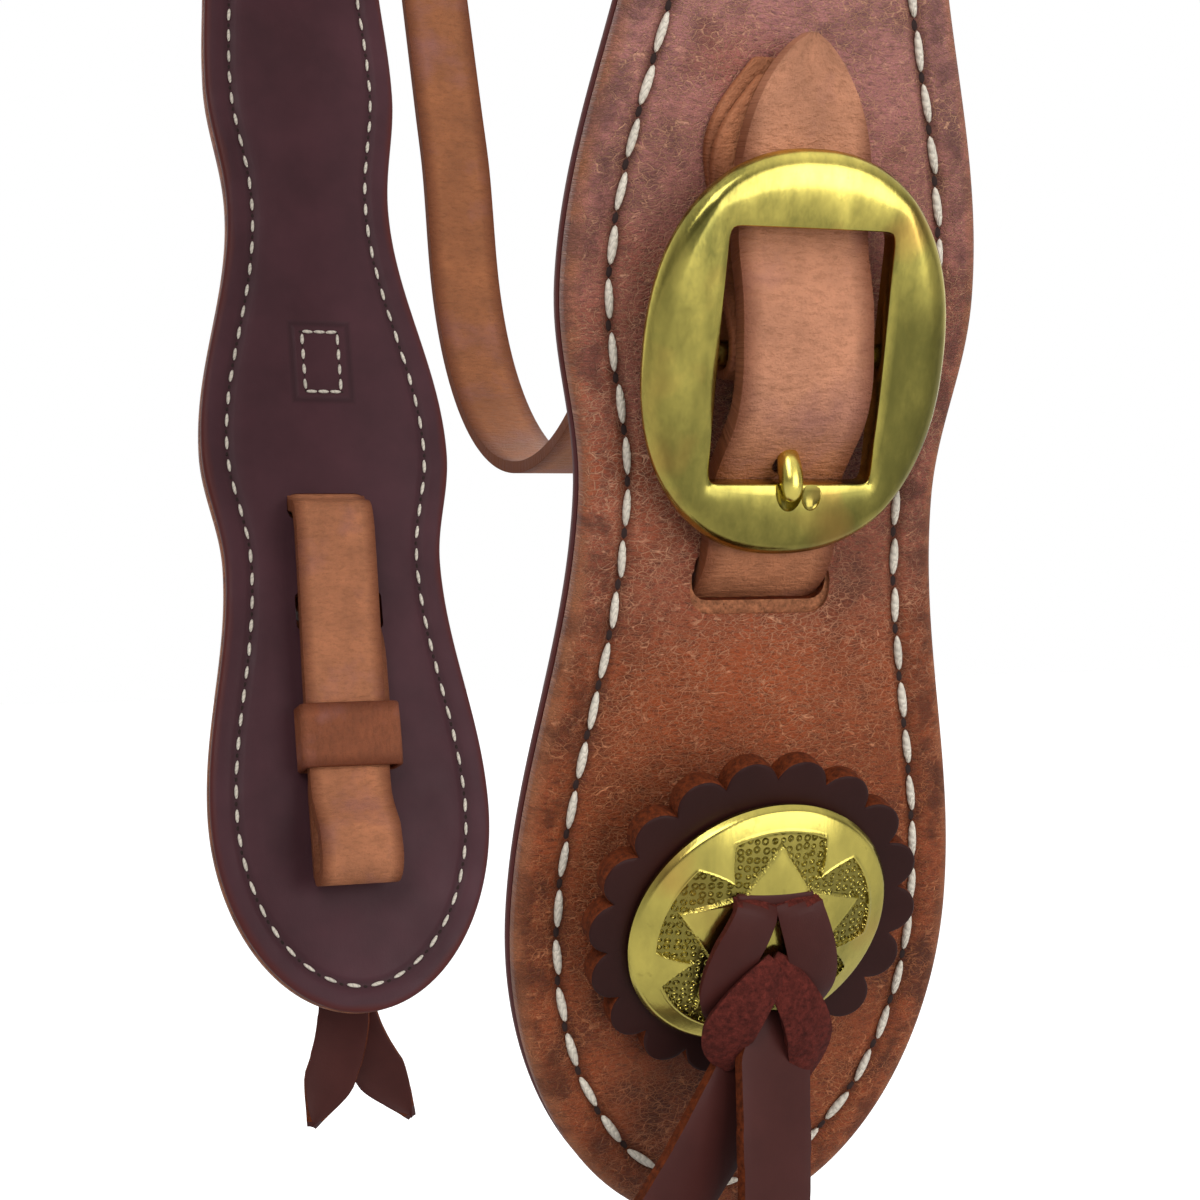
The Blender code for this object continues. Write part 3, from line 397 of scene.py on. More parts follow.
def thicken(obj, thick, round_by, segments=3):
    """Gives a strap's middle sheet its thickness and rounded edges."""
    wall = obj.modifiers.new("thickness", "SOLIDIFY")
    wall.thickness = thick
    wall.offset = 0.0
    wall.use_even_offset = True
    wall.use_quality_normals = True
    ease = obj.modifiers.new("edge", "BEVEL")
    ease.width = round_by
    ease.segments = segments
    ease.limit_method = "ANGLE"
    ease.angle_limit = math.radians(50)
    return obj


def cut(obj, tool):
    """Cuts a tool's shape out of a piece. The cut faces keep the tool's material."""
    modifier = obj.modifiers.new("cut", "BOOLEAN")
    modifier.operation = "DIFFERENCE"
    modifier.object = tool
    modifier.material_mode = "TRANSFER"
    graph = bpy.context.evaluated_depsgraph_get()
    mesh = bpy.data.meshes.new_from_object(obj.evaluated_get(graph))
    obj.modifiers.clear()
    obj.data = mesh
    bpy.data.objects.remove(tool, do_unlink=True)
    return obj


def slot_tool(length, height, centre_z, y_low, y_high, finish, radius=0.0012):
    """A prism with rounded corners, standing through the cheek."""
    r = min(radius, height / 2 - 0.0001)
    bm = bmesh.new()
    bmesh.ops.create_grid(bm, x_segments=1, y_segments=1, size=0.5)
    for vert in bm.verts:
        vert.co = (vert.co.x * length, y_low, centre_z + vert.co.y * height)
    corners = list(bm.verts)
    bmesh.ops.bevel(
        bm, geom=corners, offset=r, affect="VERTICES", segments=4, profile=0.5, material=-1
    )
    grown = bmesh.ops.extrude_face_region(bm, geom=list(bm.faces))
    moved = [item for item in grown["geom"] if isinstance(item, bmesh.types.BMVert)]
    bmesh.ops.translate(bm, verts=moved, vec=(0, y_high - y_low, 0))
    bmesh.ops.recalc_face_normals(bm, faces=bm.faces)
    return as_object("slot_tool", bm, finishes(finish))


def lace_slots(finish):
    """The two slots through which the tie passes a layer of the cheek."""
    tools = []
    for sign in (-1, 1):
        tool = slot_tool(*LACE_SLOT, TIE_Z + TIE_PULL[1] + sign * LACE_STEP, *THROUGH, finish)
        tool.data.transform(Matrix.Translation((TIE_PULL[0], 0, 0)))
        tools.append(tool)
    return tools


def box_tool(size, centre, finish):
    bm = bmesh.new()
    bmesh.ops.create_cube(bm, size=1.0, matrix=Matrix.Translation(centre) @ Matrix.Diagonal((*size, 1.0)))
    return as_object("box_tool", bm, finishes(finish))


def joined(name, pieces):
    """One object of several, with their materials merged by name."""
    bm = bmesh.new()
    materials = []
    for piece in pieces:
        mesh = piece.data
        slots = [finish for finish in mesh.materials]
        for finish in slots:
            if finish not in materials:
                materials.append(finish)
        for polygon in mesh.polygons:
            polygon.material_index = materials.index(slots[polygon.material_index])
        bm.from_mesh(mesh)
    obj = as_object(name, bm, materials)
    for piece in pieces:
        bpy.data.objects.remove(piece, do_unlink=True)
    return obj


def cheek_place(side):
    """From a cheek's frame to the hung headstall."""
    return Matrix.Translation((0, side * CHEEK_SPREAD / 2, SLOT_Z)) @ Matrix.Rotation(-side * LEAN, 4, "X")


def on_cheek(obj, side):
    """Places a piece made in the left cheek's frame on one cheek, mirrored for the right one."""
    obj.data.transform(cheek_place(side) @ (MIRROR if side > 0 else Matrix()))
    if side > 0:
        obj.data.flip_normals()
    return obj


def give(obj, body, nodes):
    """Says which body a piece rides on, and hides the solids that it stands for."""
    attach(obj, body)
    if nodes:
        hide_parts(*nodes)


def pair(obj, node=None, own_body=False):
    """Places a piece made in the left cheek's frame on both cheeks."""
    name = obj.name
    twin = linked(name + "_dress_right", obj.data.copy())
    obj.name = name + "_dress_left"
    for piece, (side, sign) in zip((obj, twin), SIDES):
        on_cheek(piece, sign)
        body = f"{node}_{side}" if own_body else "headstall"
        give(piece, body, [f"{node}_{side}"] if node else [])
    return obj, twin


# The cheek's outline and its worked layers


def cheek_half_width(z):
    """Half width at a height: an ellipse below the paddle's widest line, eased waves above it."""
    if z <= PADDLE[0]:
        share = min((PADDLE[0] - z) / (PADDLE[0] - TIP), 1.0)
        return PADDLE[1] * math.sqrt(1 - share * share)
    for (z0, w0), (z1, w1) in zip(WAVES, WAVES[1:]):
        if z <= z1:
            ease = 0.5 - 0.5 * math.cos(math.pi * (z - z0) / (z1 - z0))
            return w0 + (w1 - w0) * ease
    return WAVES[-1][1]


def cheek_ring():
    """The closed outline in x and z, from the tip's middle up the +x side, over the top and down again."""
    drop = PADDLE[0] - TIP
    tip = [
        (PADDLE[1] * math.cos(a), PADDLE[0] + drop * math.sin(a))
        for a in (-RIGHT_TURN + RIGHT_TURN * k / 60 for k in range(60))
    ]
    steps = 260
    rise = CHEEK_TOP - CORNER - PADDLE[0]
    heights = [PADDLE[0] + rise * k / steps for k in range(steps + 1)]
    side = [(cheek_half_width(z), z) for z in heights]
    x = side[-1][0]
    corner = arc((x - CORNER, CHEEK_TOP - CORNER), CORNER, 0, RIGHT_TURN, 24)[1:]
    right = tip + side + corner
    return right + [(-x, z) for x, z in reversed(right[1:])]


def cheek_core(x, z):
    """Where the surface's rows meet: a line up the cheek's middle."""
    return Vector((0.0, min(max(z, PADDLE[0]), CHEEK_TOP - 0.018)))


def layer_shell(ring, columns, profile, core, deep, y_face, outward):
    """A flat layer with a worked surface.

    profile holds (inset, drop) from the back of its edge, round it and in over the face. After it, the rows
    run on to the core, where the face stands proud by deep.
    """
    track = Track(ring, closed=True)
    inner_rows = 9
    rows = len(profile) - 1 + inner_rows
    last_inset, last_drop = profile[-1]

    def place(u, v):
        edge = track.at(u)
        along = track.along(u, 0.003)
        normal = Vector((-along.y, along.x))
        k = v * rows
        i = min(int(round(k)), rows)
        if i < len(profile):
            inset, drop = profile[i]
            spot = edge + normal * inset
        else:
            share = (i - len(profile) + 1) / inner_rows
            start = edge + normal * last_inset
            spot = start.lerp(core(*edge), share)
            drop = last_drop - (deep + last_drop) * math.sin(share * RIGHT_TURN)
        return Vector((spot.x, y_face - outward * drop, spot.y))

    bm = mesh_grid(columns, rows, place)
    flat_uv(bm)
    return capped(bm)


def edge_marks(obj, ring):
    """Stores how far each corner of a layer lies from the outline, for the burnished border."""
    track = Track(ring, closed=True)
    count, square, limit = 900, 0.01, 0.015
    buckets = {}
    for mark in (track.at(k / count) for k in range(count)):
        buckets.setdefault((round(mark.x / square), round(mark.y / square)), []).append(mark)

    def reach(co):
        spot = Vector((co.x, co.z))
        i, j = round(spot.x / square), round(spot.y / square)
        near = [m for a in (-1, 0, 1) for b in (-1, 0, 1) for m in buckets.get((i + a, j + b), ())]
        return min(min(((m - spot).length for m in near), default=limit), limit)

    return store(obj, "edge", reach)


def seam_places(ring, inset, pitch, phase=0.0):
    """Places and directions of stitches along a line inside an outline."""
    track = Track(ring, closed=True)
    count = 700
    line = []
    for k in range(count):
        along = track.along(k / count, 0.003)
        line.append(track.at(k / count) + Vector((-along.y, along.x)) * inset)
    seam = Track(line, closed=True)
    number = round(seam.length / pitch)
    shares = [(k + phase) / number for k in range(number)]
    return [(seam.at(share), seam.along(share, 0.001)) for share in shares], seam.length / number


def stitch_run(name, places, long, wide, y_seat, outward, pitch):
    """Single plump stitches, each with its needle hole, lying along places in x and z. Each hole is a flat
    dark disc of painted shade.
    """
    rng = random.Random(name)
    bm = bmesh.new()
    layer = bm.loops.layers.uv.new("surface")
    for spot, along in places:
        made = bmesh.ops.create_uvsphere(bm, u_segments=8, v_segments=6, radius=0.5)
        lie = Matrix.Rotation(RIGHT_TURN, 4, "Y")
        turn = math.atan2(-along.y, along.x) + rng.uniform(-0.07, 0.07)
        size = Matrix.Diagonal((long * rng.uniform(0.95, 1.04), wide, wide * rng.uniform(0.92, 1.06), 1.0))
        for vert in made["verts"]:
            vert.co = lie @ vert.co
            vert.co.x *= 1.0 - 0.10 * abs(vert.co.x)
        faces = {face for vert in made["verts"] for face in vert.link_faces}
        for face in faces:
            for loop in face.loops:
                co = loop.vert.co
                loop[layer].uv = (co.x * long, math.atan2(co.z, co.y) / math.tau)
        turned = Matrix.Rotation(turn, 4, "Y")
        seat = Matrix.Translation((spot.x, y_seat + outward * wide * 0.28, spot.y))
        bmesh.ops.transform(bm, matrix=seat @ turned @ size, verts=made["verts"])
        # The needle hole: a flat dark disc of painted shade.
        hole_at = spot + along * pitch / 2
        hole = bmesh.ops.create_uvsphere(bm, u_segments=8, v_segments=4, radius=0.5)
        flat = Matrix.Diagonal((wide * 1.35, 0.00022, wide * 0.80, 1.0))
        seat = Matrix.Translation((hole_at.x, y_seat, hole_at.y))
        bmesh.ops.transform(bm, matrix=seat @ turned @ flat, verts=hole["verts"])
        for face in {face for vert in hole["verts"] for face in vert.link_faces}:
            face.material_index = 1
    obj = as_object(name, bm, finishes("thread", "hole"))
    obj.data.shade_smooth()
    return pair(obj, name)


# Straps


def strap(name, path, columns, rows, wide, thick, finish, ease, across=Vector((1, 0, 0))):
    """A strap along a path of 3D points. wide is its width, or a function of the share along it."""
    track = Track(path)
    width = wide if callable(wide) else lambda u: wide

    def place(u, v):
        return track.at(u) + across * ((v - 0.5) * 2 * width(u) / 2)

    bm = mesh_grid(columns, rows, place, (track.length, width(0.5)))
    bmesh.ops.recalc_face_normals(bm, faces=bm.faces)
    return settled(thicken(as_object(name, bm, finishes(finish)), thick, ease), 60)


def strap_loop(name, half, y_low, y_high, r, steps, columns, rows, tall, thick, round_by, finish, place):
    """A loop of leather round straps. place takes a spot on the ring and the share up the loop."""
    ring = []
    for cx, cy, turn in ((1, 1, 0), (-1, 1, 1), (-1, -1, 2), (1, -1, 3)):
        corner = (cx * (half - r), (y_low if cy < 0 else y_high) - cy * r)
        ring += arc(corner, r, turn * RIGHT_TURN, (turn + 1) * RIGHT_TURN, steps)
    track = Track(ring, closed=True)
    bm = mesh_grid(columns, rows, lambda u, v: place(track.at(u), v), (track.length, tall))
    return settled(thicken(as_object(name, seamed(bm), finishes(finish)), thick, round_by), 60)


def pointed(path, width, point, power):
    """A strap's width along its path, with its last stretch cut to a rounded point."""
    start = 1 - point / Track(path).length

    def wide(u):
        share = max(0.0, (u - start) / (1 - start))
        return width * max(math.cos(share * RIGHT_TURN) ** power, 0.06)

    return wide


def rounded_off(u, start):
    """The share of its radius that a rod keeps where it is rounded off from start to its end."""
    return 0.0 if u > 0.995 else (1 - max(0.0, (u - start) / (1 - start)) ** 2) ** 0.5


def eye(name, middle, inner, wall, half_wide, swell, columns, rows, uv):
    """The ring at a tongue's root, round its bar. middle is the bar's place in y and z."""

    def place(u, v):
        angle, around = u * math.tau, v * math.tau
        r = inner + wall / 2 + wall / 2 * math.cos(around)
        x = half_wide * max(-1.0, min(1.0, swell * math.sin(around)))
        return Vector((x, middle[0] + r * math.cos(angle), middle[1] + r * math.sin(angle)))

    return as_object(name, welded(mesh_grid(columns, rows, place, uv)), finishes("brass"))


def rod(name, path, radius, columns=40, sides=20, flat=1.0, across=Vector((1, 0, 0))):
    """A round brass bar along a path in one plane. radius is a function of the share along it."""
    track = Track(path)

    def place(u, v):
        along = track.along(u, 0.01)
        out = along.cross(across).normalized()
        r = radius(u)
        angle = v * math.tau
        return track.at(u) + across * r * math.cos(angle) + out * r * flat * math.sin(angle)

    bm = welded(mesh_grid(columns, sides, place, (track.length, 0.01)))
    return settled(as_object(name, bm, finishes("brass")), 50)


def yz_path(points, x=0.0):
    """A path in a cheek's y and z as 3D points."""
    return [(x, y, z) for y, z in points]


# Materials


def socket_group(name, inputs, outputs):
    """A shader node group with named sockets, and its two end nodes."""
    group = bpy.data.node_groups.new(name, "ShaderNodeTree")
    for label, kind, default in inputs:
        made = group.interface.new_socket(label, in_out="INPUT", socket_type=kind)
        made.default_value = default
    for label, kind in outputs:
        group.interface.new_socket(label, in_out="OUTPUT", socket_type=kind)
    return group, group.nodes.new("NodeGroupInput"), group.nodes.new("NodeGroupOutput")


def ended(group, end, **outputs):
    """Links a group's results to its named outputs."""
    for label, source in outputs.items():
        group.links.new(source, end.inputs[label])
    return group


def wired(tree, kind, values=None, **links):
    """Adds a node, sets its sockets by name, and links others. A name's underscores stand for spaces."""
    node = tree.nodes.new(kind)
    for key, value in (values or {}).items():
        if key in node.inputs:
            node.inputs[key].default_value = value
        else:
            setattr(node, key, value)
    for key, source in links.items():
        label = key.replace("_", " ")
        tree.links.new(source, node.inputs[label])
    return node


def maths(tree, operation, a, b=None):
    node = tree.nodes.new("ShaderNodeMath")
    node.operation = operation
    for k, value in enumerate((a, b)):
        if value is None:
            continue
        if isinstance(value, (int, float)):
            node.inputs[k].default_value = value
        else:
            tree.links.new(value, node.inputs[k])
    return node.outputs[0]


def times(tree, a, b):
    return maths(tree, "MULTIPLY", a, b)


def minus(tree, a, b):
    return maths(tree, "SUBTRACT", a, b)


def size_of(tree, a):
    return maths(tree, "ABSOLUTE", a)


def most(tree, first, *others):
    """The greatest of several values."""
    for other in others:
        first = maths(tree, "MAXIMUM", first, other)
    return first


def remap(tree, value, low, high, to_low=0.0, to_high=1.0):
    node = tree.nodes.new("ShaderNodeMapRange")
    node.inputs["From Min"].default_value = low
    node.inputs["From Max"].default_value = high
    node.inputs["To Min"].default_value = to_low
    node.inputs["To Max"].default_value = to_high
    tree.links.new(value, node.inputs["Value"])
    return node.outputs["Result"]


def blend(tree, factor, a, b):
    node = tree.nodes.new("ShaderNodeMix")
    node.data_type = "RGBA"
    for key, value in (("Factor", factor), ("A", a), ("B", b)):
        sockets = [s for s in node.inputs if s.name == key and (s.type == "RGBA") == (key != "Factor")]
        socket = sockets[0] if key != "Factor" else node.inputs[0]
        if isinstance(value, (int, float)):
            socket.default_value = value
        elif isinstance(value, tuple):
            socket.default_value = (*value, 1.0)
        else:
            tree.links.new(value, socket)
    return node.outputs[2]


def noise(tree, vector, scale, detail=3.0, rough=0.55):
    values = {"Scale": scale, "Detail": detail, "Roughness": rough}
    return wired(tree, "ShaderNodeTexNoise", values, Vector=vector).outputs["Fac"]


def grain_group():
    """Pull-up leather: flat cells between fine, pale, broken creases, and soft unevenness."""
    group, start, end = socket_group(
        "leather_grain",
        [("Vector", "NodeSocketVector", (0, 0, 0)), ("Cells per metre", "NodeSocketFloat", 700.0)],
        [("Height", "NodeSocketFloat"), ("Crease", "NodeSocketFloat"), ("Cloud", "NodeSocketFloat")],
    )
    vector, cells = start.outputs[:2]
    moved = vector
    for scale, reach in ((55.0, 0.0060), (300.0, 0.0016)):
        drift = wired(group, "ShaderNodeTexNoise", {"Scale": scale, "Detail": 2.0}, Vector=vector)
        offset = wired(group, "ShaderNodeVectorMath", {"operation": "SCALE", "Scale": reach})
        group.links.new(drift.outputs["Color"], offset.inputs[0])
        added = wired(group, "ShaderNodeVectorMath", {"operation": "ADD"})
        for socket, source in zip(added.inputs, (moved, offset.outputs[0])):
            group.links.new(source, socket)
        moved = added.outputs[0]
    flat = stretched(group, moved, (1.0, 2.1, 1.0), 0.35)
    pale = []
    high = noise(group, vector, 3000.0, 3.0, 0.6)
    for share, reach, thin, weight in ((1.0, 0.055, 130.0, 0.62), (2.1, 0.085, 170.0, 0.50)):
        size = times(group, cells, share)
        cell = wired(group, "ShaderNodeTexVoronoi", {"feature": "DISTANCE_TO_EDGE"}, Vector=flat, Scale=size)
        apart = remap(group, cell.outputs["Distance"], 0.0, reach)
        broken = remap(group, noise(group, vector, thin, 6.0, 0.78), 0.34, 0.54)
        line = times(group, minus(group, 1.0, apart), broken)
        pale.append(times(group, line, weight * 1.6))
        high = minus(group, high, times(group, line, weight))
    cloud = noise(group, vector, 38.0, 4.0, 0.6)
    return ended(group, end, Height=high, Crease=most(group, *pale), Cloud=cloud)


def wrinkle_group():
    """Long fine creases and a soft mottle, for handled straps."""
    group, start, end = socket_group(
        "strap_wrinkles",
        [("Vector", "NodeSocketVector", (0, 0, 0))],
        [("Height", "NodeSocketFloat"), ("Mottle", "NodeSocketFloat"), ("Streak", "NodeSocketFloat")],
    )
    vector = start.outputs[0]
    along = stretched(group, vector, (1.0, 0.40, 1.0))
    creases = noise(group, along, 1200.0, 4.0, 0.65)
    streak = noise(group, along, 560.0, 5.0, 0.72)
    fine = noise(group, vector, 3200.0, 2.0, 0.5)
    height = maths(group, "ADD", times(group, creases, 0.8), times(group, fine, 0.25))
    return ended(group, end, Height=height, Mottle=noise(group, vector, 130.0, 4.0, 0.6), Streak=streak)


def burnish_group():
    """Masks that are 1 at a layer's very edge, over its border outside the seam, and in the stitch groove."""
    group, start, end = socket_group(
        "edge_burnish",
        [("Distance", "NodeSocketFloat", 0.0), ("Cloud", "NodeSocketFloat", 0.5)],
        [("Rim", "NodeSocketFloat"), ("Border", "NodeSocketFloat"), ("Groove", "NodeSocketFloat")],
    )
    distance, cloud = start.outputs[:2]
    uneven = maths(group, "ADD", distance, remap(group, cloud, 0.3, 0.7, -0.0006, 0.0006))
    rim = remap(group, uneven, 0.0016, 0.0002)
    border = remap(group, uneven, SEAM_INSET, 0.0030)
    groove = remap(group, size_of(group, minus(group, distance, SEAM_INSET)), 0.0013, 0.0003)
    return ended(group, end, Rim=rim, Border=border, Groove=groove)


def new_material(name):
    made = bpy.data.materials.new(name)
    made.use_nodes = True
    tree = made.node_tree
    return made, tree, tree.nodes["Principled BSDF"]


def surface_map(tree):
    """The piece's own UV map, in metres over its surface."""
    return wired(tree, "ShaderNodeUVMap", {"uv_map": "surface"}).outputs[0]


def object_place(tree):
    return wired(tree, "ShaderNodeTexCoord").outputs["Object"]


def stored(tree, name):
    """A value stored at the piece's corners."""
    return wired(tree, "ShaderNodeAttribute", {"attribute_name": name}).outputs["Fac"]


def grouped(tree, name, maker, values=None, **links):
    """The outputs of a shared effect, whose group is made when the first material asks for it."""
    group = bpy.data.node_groups.get(name) or maker()
    return wired(tree, "ShaderNodeGroup", {"node_tree": group, **(values or {})}, **links).outputs


def stretched(tree, vector, scale, turn=0.0):
    """The places squeezed by a scale, so that a noise on them is drawn out."""
    values = {"Scale": scale, "Rotation": (0, 0, turn)}
    return wired(tree, "ShaderNodeMapping", values, Vector=vector).outputs[0]


def layered(tree, base, *layers):
    """A base colour with layers over it, each a mask and a colour."""
    for mask, colour in layers:
        base = blend(tree, mask, base, colour)
    return base


def tinted(colour, by):
    """A colour with each channel times its own number."""
    return tuple(channel * k for channel, k in zip(colour, by))


def shade(colour, by):
    return tuple(channel * by for channel in colour)


def finish(tree, shader, base, rough, specular, height, strength, distance):
    """Gives the shader its colour, roughness, reflection and bump."""
    tree.links.new(base, shader.inputs["Base Color"])
    if isinstance(rough, float):
        shader.inputs["Roughness"].default_value = rough
    else:
        tree.links.new(rough, shader.inputs["Roughness"])
    shader.inputs["Specular IOR Level"].default_value = specular
    bump = wired(tree, "ShaderNodeBump", {"Strength": strength, "Distance": distance}, Height=height)
    tree.links.new(bump.outputs["Normal"], shader.inputs["Normal"])


def russet_leather(colours):
    """Oiled grain leather: warm on the paddle; rosier, paler and duller up the cheek, where a sheen is painted
    into the colour; worn pale along its rim.
    """
    made, tree, shader = new_material("russet_grain")
    surface = surface_map(tree)
    grain = grouped(tree, "leather_grain", grain_group, {"Cells per metre": 680.0}, Vector=surface)
    cloud = grain["Cloud"]
    burnish = grouped(tree, "edge_burnish", burnish_group, Distance=stored(tree, "edge"), Cloud=cloud)
    height = wired(tree, "ShaderNodeSeparateXYZ", Vector=surface).outputs["Y"]
    # Up the cheek the colour, and the dark patches with it, turn to the rose tone: a painted sheen over the
    # upper cheek.
    rise = remap(tree, height, -0.010, 0.075)
    dark = blend(tree, rise, shade(colours.russet, 0.27), shade(colours.rose, 0.34))
    patch = noise(tree, surface, 130.0, 5.0, 0.68)
    glow = noise(tree, surface, 32.0, 3.0, 0.5)
    spots = noise(tree, surface, 420.0, 4.0, 0.7)
    fibre = noise(tree, stretched(tree, surface, (1.0, 3.2, 1.0), 0.2), 700.0, 5.0, 0.75)
    mottle = noise(tree, surface, 240.0, 3.0, 0.6)
    # A whiter crease colour, used from the slot up: painted sheen on the creases.
    sheen_crease = tinted(colours.crease, (1.20, 1.70, 2.50))
    pale = blend(tree, remap(tree, height, -0.026, 0.012), colours.crease[:], sheen_crease)
    worn = remap(tree, mottle, 0.62, 0.38, 0.25, 0.85)
    base = layered(
        tree,
        blend(tree, rise, colours.russet[:], colours.rose[:]),
        (remap(tree, patch, 0.45, 0.62, 0.0, 0.85), dark),
        (remap(tree, glow, 0.46, 0.66, 0.0, 0.60), shade(colours.russet, 1.75)),
        (remap(tree, spots, 0.55, 0.75, 0.0, 0.5), dark),
        (remap(tree, fibre, 0.50, 0.62, 0.0, 0.72), dark),
        (remap(tree, fibre, 0.46, 0.34, 0.0, 0.20), shade(colours.crease, 0.7)),
        # The grain's pale creases, made stronger in cloud patches: these patches are a painted sheen.
        (times(tree, grain["Crease"], remap(tree, cloud, 0.36, 0.62, 0.75, 1.30)), pale),
        (times(tree, burnish["Border"], remap(tree, mottle, 0.45, 0.62, 0.0, 0.65)), dark),
        (times(tree, burnish["Groove"], 0.65), shade(colours.russet, 0.22)),
        (times(tree, burnish["Rim"], worn), shade(colours.crease, 0.66)),
    )
    rough = remap(tree, cloud, 0.3, 0.7, 0.40, 0.56)
    finish(tree, shader, base, rough, 0.27, grain["Height"], 0.75, 0.00040)
    return made


def plum_leather(colours, name="plum_smooth", colour=None):
    """Smooth, dyed leather. The lining also has its groove, its raw rim and a pressed rectangle."""
    made, tree, shader = new_material(name)
    surface = surface_map(tree)
    wrinkles = grouped(tree, "strap_wrinkles", wrinkle_group, Vector=surface)
    height = wrinkles["Height"]
    cloud = noise(tree, surface, 45.0, 4.0, 0.6)
    dye = colour or colours.plum[:]
    base = blend(tree, remap(tree, cloud, 0.35, 0.70), shade(dye, 0.82), shade(dye, 1.22))
    lining = name == "plum_smooth"
    if lining:
        burnish = grouped(tree, "edge_burnish", burnish_group, Distance=stored(tree, "edge"), Cloud=cloud)
        place = wired(tree, "ShaderNodeSeparateXYZ", Vector=surface).outputs
        wide, tall, middle = PRESSED
        beside = minus(tree, size_of(tree, place["X"]), wide)
        above = minus(tree, size_of(tree, minus(tree, place["Y"], middle)), tall)
        pressed = remap(tree, size_of(tree, most(tree, beside, above)), 0.0009, 0.0002)
        base = layered(
            tree,
            base,
            (times(tree, burnish["Groove"], 0.5), shade(colours.plum, 0.55)),
            (times(tree, burnish["Rim"], 0.8), shade(colours.flesh, 0.9)),
            (times(tree, pressed, 0.6), shade(colours.plum, 0.50)),
        )
        height = minus(tree, height, times(tree, pressed, 3.0))
    rough = remap(tree, wrinkles["Mottle"], 0.3, 0.7, 0.42, 0.54)
    finish(tree, shader, base, rough, 0.20 if lining else 0.15, height, 0.30, 0.00014)
    return made


def tan_leather(colours, name="tan_strap", by=(1.0, 1.0, 1.0), blush=False):
    """Waxed harness leather: finely creased, dark on its edges, rosy in patches from handling."""
    made, tree, shader = new_material(name)
    surface = surface_map(tree)
    wrinkles = grouped(tree, "strap_wrinkles", wrinkle_group, Vector=surface)
    mottle = remap(tree, wrinkles["Mottle"], 0.35, 0.68)
    rim = remap(tree, stored(tree, "side"), 0.0026, 0.0002)
    warm = tinted(colours.tan, by)
    base = blend(tree, mottle, shade(warm, 0.80), shade(warm, 1.12))
    if blush:
        along = wired(tree, "ShaderNodeSeparateXYZ", Vector=surface).outputs["X"]
        pink = blend(tree, mottle, shade(colours.blush, 0.82), shade(colours.blush, 1.15))
        base = blend(tree, remap(tree, along, *BLUSH_FROM), base, pink)
    base = layered(
        tree,
        base,
        (remap(tree, wrinkles["Streak"], 0.50, 0.72, 0.0, 0.28), shade(warm, 0.42)),
        (remap(tree, wrinkles["Height"], 0.54, 0.42, 0.0, 0.36), shade(warm, 0.50)),
        (remap(tree, noise(tree, surface, 70.0, 4.0, 0.6), 0.52, 0.72, 0.0, 0.60), shade(colours.rose, 0.72)),
        (times(tree, rim, 0.75), shade(colours.russet, 0.42)),
    )
    rough = remap(tree, wrinkles["Mottle"], 0.3, 0.7, 0.48, 0.64)
    finish(tree, shader, base, rough, 0.20, wrinkles["Height"], 0.90, 0.00075)
    return made


def flesh_leather(colours, name="flesh_side", colour=None, by=1.0):
    """The rough, napped side of the lace, and raw cut edges."""
    made, tree, shader = new_material(name)
    place = object_place(tree)
    raw = shade(colour or colours.flesh, by)
    nap = noise(tree, place, 1500.0, 5.0, 0.7)
    tuft = noise(tree, place, 420.0, 4.0, 0.65)
    base = blend(tree, remap(tree, nap, 0.35, 0.65), shade(raw, 0.40), shade(raw, 1.20))
    base = blend(tree, remap(tree, tuft, 0.50, 0.70, 0.0, 0.6), base, shade(raw, 0.35))
    finish(tree, shader, base, 0.85, 0.15, maths(tree, "ADD", nap, tuft), 0.8, 0.0004)
    return made


def waxed_thread(colours):
    """Twisted white thread, a little soiled, with painted shade in the grooves of its twist."""
    made, tree, shader = new_material("waxed_thread")
    split = wired(tree, "ShaderNodeSeparateXYZ", Vector=surface_map(tree)).outputs
    turn = maths(tree, "ADD", times(tree, split["X"], 900.0), split["Y"])
    strand = remap(tree, maths(tree, "SINE", times(tree, turn, math.tau)), -1.0, 1.0)
    soil = noise(tree, object_place(tree), 220.0, 3.0, 0.6)
    base = layered(
        tree,
        colours.thread[:],
        (remap(tree, soil, 0.45, 0.75, 0.0, 0.6), shade(colours.thread, 0.62)),
        # Painted shade in the grooves between the twist's strands.
        (remap(tree, strand, 0.35, 0.0, 0.0, 0.45), shade(colours.thread, 0.45)),
    )
    finish(tree, shader, base, 0.7, 0.5, strand, 0.5, 0.00015)
    return made


def needle_hole_shade():
    """Painted shade: the dark of the small holes between the stitches, drawn as flat dark discs."""
    made, tree, shader = new_material("needle_hole_shade")
    shadow = noise(tree, object_place(tree), 900.0)
    base = blend(tree, shadow, (0.012, 0.004, 0.003), (0.030, 0.010, 0.007))
    tree.links.new(base, shader.inputs["Base Color"])
    shader.inputs["Roughness"].default_value = 0.9
    return made


def punched_rings(tree, place):
    """Small rings stamped close together, as a height."""
    cells = wired(tree, "ShaderNodeTexVoronoi", {"Scale": 930.0, "Randomness": 0.30}, Vector=place)
    off = size_of(tree, minus(tree, cells.outputs["Distance"], 0.32))
    return remap(tree, off, 0.12, 0.0, 0.0, 1.7)


